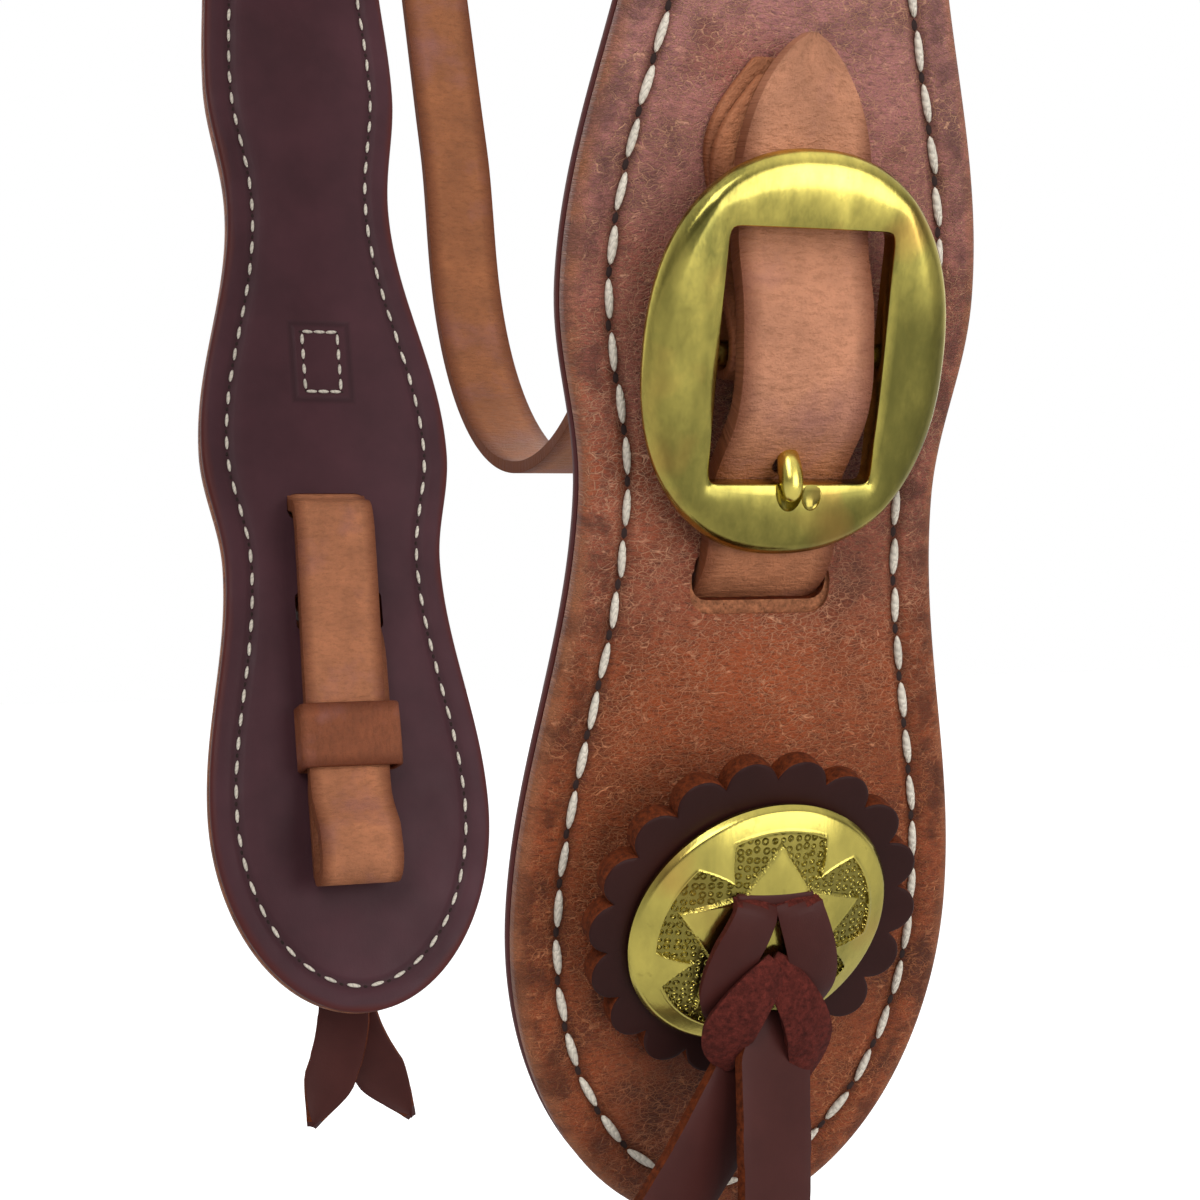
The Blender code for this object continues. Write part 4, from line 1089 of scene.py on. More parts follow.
def polished_brass(colours, name="polished_brass", punched=False):
    """Yellow brass, polished by hand: drawn clouds, coppery patches, dark spots, and painted shade stored at
    the corners, which darkens the buckle frame low down and on the right. The concho also has a dull ground,
    stamped with rings."""
    made, tree, shader = new_material(name)
    place = object_place(tree)
    cloud = noise(tree, stretched(tree, place, (1.0, 1.0, 0.4)), 90.0, 6.0, 0.68)
    olive = tinted(colours.brass, (0.42, 0.46, 0.50))
    clean = shade(colours.brass, 1.22 if punched else 1.50)
    clouded = remap(tree, cloud, 0.34, 0.66, 0.30 if punched else 0.0)
    warm = noise(tree, place, 48.0, 3.0, 0.5)
    spots = noise(tree, place, 520.0, 3.0, 0.7)
    base = layered(
        tree,
        blend(tree, clouded, olive, clean),
        # Painted shade: the frame darker low down and on the right, where the brass reflects dim surroundings.
        (times(tree, stored(tree, "painted_shade"), remap(tree, cloud, 0.3, 0.7, 1.15, 0.75)), shade(olive, 0.60)),
        (remap(tree, warm, 0.58, 0.72, 0.0, 0.6), tinted(colours.brass, (1.05, 0.62, 0.70))),
        (remap(tree, spots, 0.62, 0.78, 0.0, 0.45), shade(colours.brass, 0.35)),
    )
    shader.inputs["Metallic"].default_value = 1.0
    rough = remap(tree, cloud, 0.3, 0.7, 0.15, 0.27)
    height = times(tree, noise(tree, stretched(tree, place, (1.0, 1.0, 0.12)), 2600.0, 2.0, 0.5), 0.06)
    if punched:
        mask = stored(tree, "field")
        rings = times(tree, punched_rings(tree, surface_map(tree)), mask)
        dull = times(tree, mask, minus(tree, 0.70, times(tree, rings, 0.55)))
        base = blend(tree, dull, base, shade(colours.brass, 0.24))
        rough = maths(tree, "ADD", rough, times(tree, mask, 0.04))
        height = maths(tree, "ADD", height, rings)
    finish(tree, shader, base, rough, 0.5, height, 0.8, 0.00026 if punched else 0.00016)
    return made


class Finishes:
    """The materials, made once, when the first operator asks for one."""

    made = {}

    @classmethod
    def get(cls, name):
        colours = bpy.context.scene.headstall_colours
        makers = {
            "russet": lambda: russet_leather(colours),
            "plum": lambda: plum_leather(colours),
            "lace": lambda: plum_leather(colours, "oiled_lace", colours.lace[:]),
            "rosette": lambda: plum_leather(colours, "matte_rosette", shade(colours.lace, 0.45)),
            "tan": lambda: tan_leather(colours, blush=True),
            "throat": lambda: tan_leather(colours, "throat_strap", (0.76, 0.72, 0.62)),
            "keeper": lambda: tan_leather(colours, "amber_keeper", (0.58, 0.46, 0.42)),
            "flesh": lambda: flesh_leather(colours),
            "cut_russet": lambda: flesh_leather(colours, "cut_russet", colours.russet[:], 0.62),
            "cut_tan": lambda: flesh_leather(colours, "cut_tan", colours.tan[:], 0.82),
            "thread": lambda: waxed_thread(colours),
            "hole": needle_hole_shade,
            "brass": lambda: polished_brass(colours),
            "punched": lambda: polished_brass(colours, "punched_brass", True),
        }
        if name not in cls.made:
            cls.made[name] = makers[name]()
        return cls.made[name]


def finishes(*names):
    return [Finishes.get(name) for name in names]


def side_marks(obj, half, middle=0.0):
    """Stores how far each corner of a strap lies from its nearer long edge."""
    return store(obj, "side", lambda co: max(half - abs(co.x - middle), 0.0))


# Pieces


def cheek_leather(sizes):
    ring = cheek_ring()
    g = sizes.groove
    s = sizes.stitch_inset
    profile = [
        (0.0003, FRONT_LEATHER - 0.0001), (0.0, FRONT_LEATHER - 0.0005), (0.0, 0.0018), (0.0, 0.0010),
        (0.0002, 0.00060), (0.0006, 0.00030), (0.0012, 0.00010), (0.0020, 0.0), (0.0030, -0.0001),
        (s - 0.0014, 0.0), (s - 0.0009, g * 0.35), (s - 0.0004, g * 0.9), (s, g), (s + 0.0004, g * 0.9),
        (s + 0.0009, g * 0.35), (s + 0.0014, 0.0), (s + 0.0019, -0.0001),
    ]
    bm = layer_shell(ring, 460, profile, cheek_core, 0.0002, GRAIN_Y, -1)
    obj = as_object("cheek_leather", bm, finishes("russet", "cut_russet"))
    tools = [
        slot_tool(0.0182, 0.0066, -0.0004, THROUGH[0], GRAIN_Y + 0.0004, "cut_tan", 0.0026),
        slot_tool(0.0174, 0.0062, 0.0010, *THROUGH, "cut_russet", 0.0020),
    ]
    for tool in tools + lace_slots("cut_russet"):
        cut(obj, tool)
    obj = edge_marks(settled(obj, 40), ring)
    return pair(obj, "cheek_leather")


def cheek_lining(sizes):
    ring = cheek_ring()
    g = sizes.groove * 0.9
    s = sizes.stitch_inset
    profile = [
        (0.0002, LINING - 0.0001), (0.0, LINING - 0.0004), (0.0, 0.0012), (0.0, 0.0008), (0.0002, 0.0004),
        (0.0006, 0.00018), (0.0012, 0.00005), (0.0022, 0.0), (s - 0.0018, 0.0), (s - 0.0011, g * 0.4),
        (s - 0.0005, g), (s, g * 1.1), (s + 0.0005, g), (s + 0.0011, g * 0.4), (s + 0.0017, 0.0),
    ]
    bm = layer_shell(ring, 460, profile, cheek_core, 0.0004, FLESH_Y, 1)
    obj = as_object("cheek_lining", bm, finishes("plum", "cut_tan"))
    tools = [
        slot_tool(0.0166, 0.0056, 0.0222, *THROUGH, "flesh", 0.0020),
        slot_tool(0.0182, 0.0080, 0.0000, *THROUGH, "flesh"),
    ]
    tools[0].data.transform(Matrix.Translation((UPPER_SLOT_X, 0, 0)))
    for tool in tools + lace_slots("flesh"):
        cut(obj, tool)
    obj = edge_marks(settled(obj, 40), ring)
    return pair(obj, "cheek_lining")


def edge_stitching(sizes):
    ring = cheek_ring()
    places, pitch = seam_places(ring, sizes.stitch_inset, sizes.stitch_pitch)
    seat = GRAIN_Y + sizes.groove
    stitch_run("grain_stitching", places, sizes.grain_stitch, sizes.thread, seat, -1, pitch)
    places, pitch = seam_places(ring, sizes.stitch_inset, sizes.stitch_pitch * BACK_PITCH, 0.5)
    places = [(spot, along) for spot, along in places if spot.y < CHEEK_TOP - CROWN_LAP - 0.001]
    seat = FLESH_Y - sizes.groove
    stitch_run("lining_stitching", places, sizes.lining_stitch, sizes.thread * BACK_THREAD, seat, 1, pitch)


def rectangle_places(wide, tall, middle_z, pitch):
    """Stitch places round a rectangle in x and z, each side on its own."""
    places = []
    corners = [(-1, -1), (1, -1), (1, 1), (-1, 1)]
    for (ax, az), (bx, bz) in zip(corners, corners[1:] + corners[:1]):
        a = Vector((ax * wide / 2, middle_z + az * tall / 2))
        b = Vector((bx * wide / 2, middle_z + bz * tall / 2))
        count = max(round((b - a).length / pitch), 2)
        places += [(a.lerp(b, (k + 0.5) / count), (b - a).normalized()) for k in range(count)]
    return places


def box_stitching(sizes):
    places = rectangle_places(*BOX_SEAM, 0.0030)
    fine = sizes.thread * BACK_THREAD
    stitch_run("box_stitching", places, 0.0025, fine, FLESH_Y + 0.0003, 1, 0.003)
    half = CROWN_WIDTH / 2 - 0.004
    low, high = BROW_Z + 0.0130, CHEEK_TOP - 0.0030
    places = rectangle_places(half * 2, high - low, (low + high) / 2, sizes.stitch_pitch * BACK_PITCH)
    stitch_run("crown_stitching", places, sizes.lining_stitch, fine, CROWN_BACK_Y, 1, 0.005)


def strap_route():
    """The bit strap's middle line in y and z: sewn end, down the back, round the loop, up, to the front."""
    radius = LOOP_R + STRAP / 2
    loop_y = INNER_Y + radius
    loop_z = LOOP_BOTTOM + LOOP_R + STRAP
    low = KEEPER_Z - 0.0130
    down = smooth_path(
        [
            (0.0006, 0.0285), (0.0009, 0.0250), (0.0026, 0.0226), (OUTER_Y - 0.0012, 0.0208),
            (OUTER_Y, 0.0165), (OUTER_Y, 0.0140), (OUTER_Y, low + 0.0060), (OUTER_Y + 0.0006, low),
            (loop_y + radius * 0.84, loop_z + 0.0050),
        ],
        8,
    )
    turn = arc((loop_y, loop_z), radius, 0, -math.pi, 22)
    up = smooth_path(
        [
            (INNER_Y, low), (INNER_Y, -0.0120), (INNER_Y, -0.0105), (INNER_Y - 0.0012, -0.0065),
            (0.0002, -0.0014), (FRONT_Y + 0.0014, 0.0018), (FRONT_Y, 0.0050), (FRONT_Y, 0.0100),
            (FRONT_Y - 0.0007, 0.0132), (-0.0079, 0.0168), (-0.0107, 0.0206),
            (BILLET_BAR_Y - 0.0006, BUCKLE_Z - 0.0028),
            (BILLET_BAR_Y - 0.0002, BUCKLE_Z + 0.0020), (BILLET_BAR_Y + 0.0006, BUCKLE_Z + 0.0065),
            (BILLET_TOP_Y - 0.0004, BUCKLE_Z + 0.0125), (BILLET_TOP_Y, BUCKLE_Z + 0.0165),
            (BILLET_TOP_Y, BUCKLE_Z + 0.0225), (BILLET_TOP_Y + 0.0004, 0.0638),
        ],
        8,
    )
    return down + turn + up


def strap_drift(y, z):
    """How far the strap's two runs behind the cheek have slipped sideways, past each other."""
    if y > (INNER_Y + OUTER_Y) / 2 or z > 0.012 and y > -0.002:
        return OUTER_SLIP + 0.0007 * eased(z, -0.035, 0.020)
    return INNER_SLIP * eased(y, 0.0, INNER_Y) * (1 - eased(z, -0.038, -0.026))


def bit_strap(sizes):
    route = yz_path(strap_route())
    wide = pointed(route, STRAP_WIDTH, 0.0165, 0.62)
    strap_obj = strap("bit_strap", route, 190, 10, wide, STRAP, "tan", 0.0007)
    hole = slot_tool(0.0030, 0.0024, BUCKLE_Z - 0.0126, -0.02, FRONT_Y + 0.002, "cut_tan", 0.0017)
    cut(strap_obj, hole)
    obj = side_marks(settled(strap_obj, 50), STRAP_WIDTH / 2)
    slip(obj, lambda co: strap_drift(co.y, co.z))
    return pair(obj, "bit_strap")


def strap_keeper(sizes):
    y_low = INNER_Y - STRAP / 2 - GAP - KEEPER / 2
    y_high = OUTER_Y + STRAP / 2 + GAP + KEEPER / 2
    half = KEEPER_WIDTH / 2 - KEEPER / 2
    tall = KEEPER_TALL
    middle = (y_low + y_high) / 2

    def place(spot, v):
        edge = abs(v - 0.5) * 2
        swell = 0.0004 * (1 - edge**2) if spot.y > middle + 0.001 else 0.0
        return Vector((spot.x + KEEPER_SLIP, spot.y + swell - 0.0002, KEEPER_Z + (v - 0.5) * tall))

    shape = (half, y_low, y_high, 0.0014, 8, 110, 10, tall, KEEPER, 0.0004)
    obj = strap_loop("strap_keeper", *shape, "keeper", place)
    store(obj, "side", lambda co: max(tall / 2 - abs(co.z - KEEPER_Z), 0.0))
    return pair(obj, "strap_keeper", own_body=True)


def buckle_chape(sizes):
    r = BAR_R + GAP + CHAPE / 2
    top = 0.0590
    low = [(CHAPE_LOW_Y, top + 0.0020), (CHAPE_LOW_Y, BUCKLE_Z + 0.0100), (CHAPE_LOW_Y, BUCKLE_Z + 0.0080)]
    low = smooth_path([*low, (BAR_Y + r, BUCKLE_Z + 0.0020)], 6)
    turn = arc((BAR_Y, BUCKLE_Z), r, 0, -math.pi, 20)
    high = smooth_path(
        [(BAR_Y - r, BUCKLE_Z + 0.0015), (CHAPE_TOP_Y, BUCKLE_Z + 0.0080), (CHAPE_TOP_Y, top)], 10
    )
    path = low[:-1] + turn + high[1:]

    def wide(u):
        share = min(min(u, 1 - u) * 6.0, 1.0)
        return CHAPE_WIDTH * (0.25 + 0.75 * math.sin(share * RIGHT_TURN))

    obj = strap("buckle_chape", yz_path(path), 120, 8, wide, CHAPE, "tan", 0.0004)
    tool = box_tool((0.0046, 0.02, 0.0110), (0, BAR_Y, BUCKLE_Z - 0.0022), "cut_tan")
    obj = side_marks(settled(cut(obj, tool), 50), CHAPE_WIDTH / 2)
    slip(obj, lambda co: CHAPE_SLIP * eased(co.z, BUCKLE_Z + 0.0060, 0.0560))
    return pair(obj, "buckle_chape")


def buckle_place():
    """The frame's slope: its bottom rim lies on the billet and its top rim on the chape and billet."""
    low = FRONT_Y - STRAP / 2 - GAP
    high = BILLET_TOP_Y - STRAP / 2 - GAP
    tilt = math.atan2(low - high, 2 * FRAME_HALF[1] - 0.009)
    move = Matrix.Translation((0, (low + high) / 2 - BUCKLE_THICK / 2 - 0.0002, BUCKLE_Z))
    return move @ Matrix.Rotation(tilt, 4, "X")


def oval_radius(angle, half_x, half_z, power):
    return (abs(math.cos(angle) / half_x) ** power + abs(math.sin(angle) / half_z) ** power) ** (-1 / power)


def ring_frame(name, outer, inner, section, columns, finish):
    """A buckle's frame: a section of (share from window to rim, height) swept round between two ovals.

    The columns crowd towards the window's corners, to keep them crisp.
    """
    corner = math.atan2(inner[1], inner[0])

    def place(u, v):
        angle = math.tau * min(int(round(u * columns)), columns) / columns
        half = angle % math.pi
        quarter, toward = (half, corner) if half <= RIGHT_TURN else (math.pi - half, math.pi - corner)
        pull = 0.16 * math.exp(-(((quarter - corner) / 0.22) ** 2))
        angle = math.floor(angle / math.pi) * math.pi + half + (toward - half) * pull
        out = oval_radius(angle, *outer)
        into = oval_radius(angle, *inner)
        share, height = section[min(int(round(v * len(section))), len(section)) % len(section)]
        r = into + (out - into) * share
        return Vector((r * math.cos(angle), -height, r * math.sin(angle)))

    bm = welded(mesh_grid(columns, len(section), place, (0.12, 0.02)))
    return as_object(name, bm, finish)


def painted_shade(co):
    """How much painted shade darkens the frame at a place, for the dim surroundings that it reflects: most low
    down and on the right, but none on its rim or window lip, which stay bright as painted highlights.
    """
    across, down = FRAME_HALF
    side, low = co.x / across, (BUCKLE_Z - co.z) / down
    shaded_low_right = eased(low + 0.55, 0.0, 0.45) * (0.66 + 0.34 * eased(side, -0.6, 0.6))
    rim = eased(abs(side) ** FRAME_POWER + abs(low) ** FRAME_POWER, 0.86, 0.97)
    past_window = max(abs(side) * across - WINDOW_HALF[0], abs(low) * down - WINDOW_HALF[1])
    lip = 1 - eased(past_window, 0.0003, 0.0009)
    return shaded_low_right * (1 - 0.85 * max(rim, lip))


def buckle_frame(sizes):
    section = [
        (0.0, -0.0015), (0.0, -0.0004), (0.0, 0.00105), (0.010, 0.00122), (0.030, 0.00132), (0.16, 0.00148),
        (0.32, 0.00160), (0.50, 0.00166), (0.68, 0.00156), (0.82, 0.00126), (0.92, 0.00075), (0.975, 0.00015),
        (1.0, -0.00050), (0.985, -0.0010), (0.95, -0.0014), (0.85, -0.0016), (0.4, -0.0016), (0.04, -0.0016),
    ]
    outer, inner = (*FRAME_HALF, FRAME_POWER), (*WINDOW_HALF, WINDOW_POWER)
    frame_obj = ring_frame("buckle_frame", outer, inner, section, 220, finishes("brass"))
    for name, (centre, size) in (("notch_tool", TONGUE_NOTCH), ("dimple_tool", RIM_DIMPLE)):
        hollow = bmesh.new()
        lie = Matrix.Translation(centre) @ Matrix.Diagonal((*size, 1.0))
        bmesh.ops.create_uvsphere(hollow, u_segments=24, v_segments=12, radius=1.0, matrix=lie)
        cut(frame_obj, as_object(name, hollow, finishes("brass")))
    frame_obj.data.transform(buckle_place())
    ends = [(x, BAR_Y, BUCKLE_Z) for x in (-BAR_HALF, BAR_HALF)]
    bar = rod("bar", ends, lambda u: BAR_R, 10, 20, 1.0, Vector((0, 0, 1)))
    lugs = []
    for sign in (-1, 1):
        path = [(sign * LUG_X, BAR_Y + along, BUCKLE_Z) for along in (0.0013, -0.0012)]
        lugs.append(rod("lug", path, lambda u: LUG_R, 8, 20))
    obj = settled(joined("buckle_frame", [frame_obj, bar, *lugs]), 42)
    return pair(store(obj, "painted_shade", painted_shade), "buckle_frame")


# The tongue's way down to the rim, from where its tip rests: out from the frame and up
TONGUE_SPOTS = ((0.0032, 0.0044), (0.0015, 0.0018), (0.0005, -0.0002), (0.0003, -0.0022))


def buckle_tongue(sizes):
    lie = -BUCKLE_THICK / 2 + 0.0008 - 0.0012 - GAP
    spots = [buckle_place() @ Vector((0, lie + out, up - 0.0145)) for out, up in TONGUE_SPOTS]
    ring_r = BAR_R + GAP + 0.0002
    route = [(BAR_Y - ring_r, BUCKLE_Z - 0.0002), (BAR_Y - ring_r - 0.0002, BUCKLE_Z - 0.0035)]
    route += [(spot.y, spot.z) for spot in spots]

    def radius(u):
        return (0.00095 + 0.00050 * eased(u, 0.45, 0.80)) * rounded_off(u, 0.84)

    shank = rod("tongue_shank", yz_path(smooth_path(route, 8)), radius, 80, 28, 0.95)
    hoop = eye("tongue_hoop", (BAR_Y, BUCKLE_Z), BAR_R + GAP, 0.0012, 0.0017, 1.35, 48, 16, (0.02, 0.01))
    obj = joined("buckle_tongue", [shank, hoop])
    return pair(settled(obj, 50), "buckle_tongue", own_body=True)


def tie_place():
    """Where the rosette sits: its low edge on the leather, tipped forward by the pull of the tie."""
    lift = ROSETTE_R * math.sin(TIE_TILT)
    pulled = Matrix.Translation((TIE_PULL[0], GRAIN_Y - GAP - lift, TIE_Z + TIE_PULL[1]))
    return pulled @ Matrix.Rotation(TIE_TILT, 4, "X")


def rosette(sizes):
    ring = []
    count = sizes.lobes * 16
    step = math.tau / sizes.lobes
    for k in range(count):
        angle = -RIGHT_TURN + math.tau * k / count
        off = (angle + RIGHT_TURN) % step - step / 2
        middle = ROSETTE_R - sizes.lobe_round
        r = middle * math.cos(off) + math.sqrt(sizes.lobe_round**2 - (middle * math.sin(off)) ** 2)
        ring.append((r * math.cos(angle), r * math.sin(angle)))
    thick = ROSETTE_THICK
    profile = [
        (0.0001, thick), (0.0, thick - 0.0003), (0.0, thick / 2), (0.0, 0.0004), (0.00006, 0.00018),
        (0.0002, 0.00004), (0.0005, 0.0), (0.0012, 0.0),
    ]
    bm = layer_shell(ring, count, profile, lambda x, z: Vector((0, 0)), 0.0, -thick, -1)
    for face in bm.faces:
        middle = face.calc_center_median()
        if middle.y > -thick + 0.0002 or len(face.verts) > 8:
            face.material_index = 1
    obj = as_object("rosette", bm, finishes("rosette", "cut_russet"))
    for vert in obj.data.vertices:
        vert.co.y -= 0.0006 * ((vert.co.x / ROSETTE_R) ** 2 + (vert.co.z / ROSETTE_R) ** 2) ** 2 - 0.0003
    for sign in (-1, 1):
        cut(obj, slot_tool(0.0110, LACE + 0.0012, sign * LACE_STEP, -0.01, 0.004, "flesh"))
    obj.data.transform(tie_place())
    return pair(settled(obj, 40), "rosette")


def star_reach(angle, points, outer, inner, turn):
    """How far a star's edge lies from its middle at an angle."""
    step = math.tau / points
    off = abs(((angle - turn) % step) - step / 2)
    off = step / 2 - off
    tip = Vector((outer, 0))
    dent = Vector((inner * math.cos(step / 2), inner * math.sin(step / 2)))
    ray = Vector((math.cos(off), math.sin(off)))
    run = dent - tip
    cross = ray.x * run.y - ray.y * run.x
    return (tip.x * run.y - tip.y * run.x) / cross if abs(cross) > 1e-9 else outer


def eased(value, low, high):
    share = min(max((value - low) / (high - low), 0.0), 1.0)
    return share * share * (3 - 2 * share)


STAR_TURN = RIGHT_TURN


def tooth_reach(angle):
    """The punched ground's outer line: round, with five plain teeth between the star's points."""
    step = math.tau / 5
    off = abs((angle - STAR_TURN) % step - step / 2)
    depth = max(0.0, 1 - off / math.radians(11.0))
    return CONCHO_R * (0.82 - 0.26 * depth)


def concho_relief(x, z):
    """The raised work's height over the ground, and how far a place is on the punched ground, from 0 to 1."""
    r, angle = math.hypot(x, z), math.atan2(z, x)
    star = star_reach(angle, 5, CONCHO_R * 0.74, CONCHO_R * 0.45, STAR_TURN)
    edge = tooth_reach(angle)
    ground = eased(r, star - 0.00010, star + 0.00016) * (1 - eased(r, edge - 0.00016, edge + 0.00010))
    line = sum(math.exp(-((off / 0.00016) ** 2)) for off in (r - star + 0.00022, r - edge - 0.00022))
    height = -0.00040 * ground + 0.00010 * min(line, 1.0) * (1 if r < CONCHO_R * 0.84 else 0)
    return height, ground


# The concho is drawn a little narrower across this slant, as the photo shows it
CONCHO_TURN = math.radians(-31)
CONCHO_SQUEEZE = (0.97, 1.0, 0.90)


def concho(sizes):
    seat = -ROSETTE_THICK - GAP
    columns, rows = 560, 96

    def place(u, v):
        angle = u * math.tau
        r = CONCHO_R * min(v / 0.9, 1.0) ** 0.92
        x, z = r * math.cos(angle), r * math.sin(angle)
        share = r / CONCHO_R
        y = seat - 0.0012 - 0.0032 * (1 - share**2.2)
        if v < 0.9:
            y -= concho_relief(x, z)[0]
            y += 0.0005 * eased(share, 0.955, 1.0) ** 2
        else:
            round_off = (v - 0.9) / 0.1
            y += 0.0005 + 0.0007 * round_off
            x *= 1 - 0.010 * round_off
            z *= 1 - 0.010 * round_off
        return Vector((x, y, z))

    bm = mesh_grid(columns, rows, place)
    flat_uv(bm)
    obj = as_object("concho", capped(bm), finishes("punched"))
    for sign in (-1, 1):
        cut(obj, slot_tool(0.0112, LACE + 0.0014, sign * LACE_STEP, -0.03, 0.01, "punched", 0.0006))
    store(obj, "field", lambda co: concho_relief(co.x, co.z)[1])
    across = Matrix.Rotation(CONCHO_TURN, 4, "Y")
    narrower = Matrix.Diagonal((*CONCHO_SQUEEZE, 1.0))
    obj.data.transform(tie_place() @ across @ narrower @ across.inverted())
    return pair(settled(obj, 38), "concho")


def lace_piece(name, spots, wide, finish, steps=8, columns=40, thick=LACE, twist=None):
    """A stretch of lace through 3D places, flat to the front. wide is a function of the share along it."""
    flat = smooth_path([(s[0], s[2]) for s in spots], steps)
    depth = smooth_path([(k, s[1]) for k, s in enumerate(spots)], steps)
    path = [(x, y, z) for (x, z), (_, y) in zip(flat, depth)]
    track = Track(path)

    def place(u, v):
        along = track.along(u, 0.02)
        turn = twist(u) if twist else 0.0
        out = Vector((0, -1, 0))
        across = along.cross(out).normalized()
        out = across.cross(along).normalized()
        lean = across * math.cos(turn) + out * math.sin(turn)
        sideways = (v - 0.5) * 2
        return track.at(u) + lean * (sideways * wide(u) / 2) + out * 0.0004 * (1 - sideways**2)

    bm = mesh_grid(columns, 8, place, (track.length, 0.0098))
    bmesh.ops.recalc_face_normals(bm, faces=bm.faces)
    obj = as_object(name, bm, finishes(finish))
    thicken(obj, thick, thick * 0.28)
    return settled(obj, 60)


# The plait's strands in the tie's frame: two legs from the slots, and two flesh-side arms over them
KNOT_UPPER = (
    [
        (-0.0027, -0.0066, 0.0046), (-0.0028, -0.0080, 0.0041), (-0.0037, -0.0086, 0.0019),
        (-0.0048, -0.0087, -0.0008), (-0.0056, -0.0086, -0.0044), (-0.0054, -0.0081, -0.0075),
        (-0.0042, -0.0070, -0.0105),
    ],
    [
        (0.0028, -0.0066, 0.0046), (0.0029, -0.0080, 0.0040), (0.0039, -0.0086, 0.0014),
        (0.0050, -0.0087, -0.0016), (0.0056, -0.0086, -0.0044), (0.0057, -0.0081, -0.0070),
        (0.0056, -0.0070, -0.0098),
    ],
)
KNOT_LOWER = (
    [
        (0.0004, -0.0090, -0.0028), (-0.0007, -0.0097, -0.0036), (-0.0022, -0.0104, -0.0050),
        (-0.0040, -0.0107, -0.0078), (-0.0052, -0.0104, -0.0112), (-0.0039, -0.0092, -0.0158),
    ],
    [
        (-0.0002, -0.0083, -0.0030), (0.0010, -0.0090, -0.0038), (0.0024, -0.0100, -0.0056),
        (0.0042, -0.0106, -0.0086), (0.0056, -0.0104, -0.0124), (0.0060, -0.0092, -0.0190),
    ],
)


def tie_knot(sizes):
    back_y = FLESH_Y + GAP + LACE / 2
    x, low = TIE_PULL[0], TIE_Z + TIE_PULL[1]
    behind = [(x, back_y, low + up) for up in (-0.0050, 0.0, 0.0048)]
    pieces = [lace_piece("lace_back", behind, lambda u: LACE_WIDTH, "lace")]
    for sign in (-1, 1):
        z = low + sign * LACE_STEP
        front = (tie_place() @ Vector((0, -0.0082, sign * LACE_STEP + 0.0006))).y
        path = [(x, back_y, z), (x, -0.006, z), (x, front + 0.0006, z - 0.0006)]
        pieces.append(strap("lace_leg", path, 20, 6, LACE_WIDTH, LACE, "lace", 0.0004))

    def leg(u):
        wide = 0.0052 * (1 + 0.12 * math.sin(u * math.pi))
        return wide * (1.0 if u < 0.7 else 1 - 0.45 * ((u - 0.7) / 0.3) ** 1.5)

    def arm(u):
        swell = 0.0026 * math.sin(min(u * 1.45, 1.0) * RIGHT_TURN)
        return 0.0036 + swell - 0.0050 * max(0.0, (u - 0.60) / 0.40) ** 1.6

    strands = [lace_piece("knot_upper", spots, leg, "lace", thick=0.0013) for spots in KNOT_UPPER]
    for strand in strands:
        mark_cut_sides(strand)
    for sign, spots in zip((-1, 1), KNOT_LOWER):
        lean = sign * 0.20
        strands.append(lace_piece("knot_lower", spots, arm, "flesh", thick=0.0013, twist=lambda u, s=lean: s))
    knot = joined("tie_front", strands)
    knot.data.transform(tie_place())
    obj = joined("tie_knot", [*pieces, knot])
    return pair(settled(obj, 50), "tie_knot")


# Each tail's root in the tie's frame, and on the left and right cheek its lean, end's sweep and length
TAILS = (
    ("front", (0.0014, -0.0104, -0.0146), ((0.03, 0.0014, 0.0435), (0.06, 0.0175, 0.0475))),
    ("rear", (0.0004, -0.0078, -0.0166), ((0.59, -0.0014, 0.0425), (-0.12, -0.0120, 0.0460))),
)


def tie_tails(sizes):
    """The lace's two cut ends, hanging down, with wavy hand-cut edges."""
    for label, root, hangs in TAILS:
        wave = random.Random(label)
        shifts = [wave.uniform(-0.0003, 0.0003) for _ in range(12)]

        def wide(u, shifts=shifts, label=label):
            rough = shifts[min(int(u * 11), 11)]
            tip = 1.0 if u < 0.80 else 1 - 0.92 * ((u - 0.80) / 0.20) ** 1.3
            if label == "front":
                tip *= 0.15 + 0.85 * eased(u, -0.03, 0.12)
            return max((0.0106 + rough) * tip, 0.0002)

        top = 0.0056 if label == "front" else 0.0022
        for (side, sign), (lean, sweep, long) in zip(SIDES, hangs):
            spots = [
                (0.0, 0.0002, top), (0.0, 0.0, 0.0), (sweep * 0.05, -0.0004, -long * 0.3),
                (sweep * 0.32, 0.0003, -long * 0.65), (sweep, 0.0, -long),
            ]
            name = "tie_tail_" + label
            obj = lace_piece(name, spots, wide, "lace", 10, 60, LACE, lambda u: 0.24 + 0.10 * math.sin(u * 4))
            mark_cut_sides(obj, "cut_russet")
            turn = Matrix.Translation(tie_place() @ Vector(root)) @ Matrix.Rotation(-LEAN, 4, "X")
            obj.data.transform(turn @ Matrix.Rotation(lean, 4, "Y"))
            on_cheek(obj, sign)
            obj.name = f"{name}_dress_{side}"
            give(obj, f"{name}_{side}", [f"{name}_{side}"])


def mark_cut_sides(obj, finish="flesh"):
    """Gives a lace's narrow long sides the raw, russet cut finish."""
    obj.data.materials.append(Finishes.get(finish))
    for polygon in obj.data.polygons:
        if abs(polygon.normal.y) < 0.55:
            polygon.material_index = 1


def hung(side, y, z):
    """A place in a cheek's frame, as the headstall's y and z."""
    turned = Matrix.Rotation(LEAN, 4, "X") @ Vector((0, y, z))
    return (-side * (turned.y - CHEEK_SPREAD / 2), SLOT_Z + turned.z)


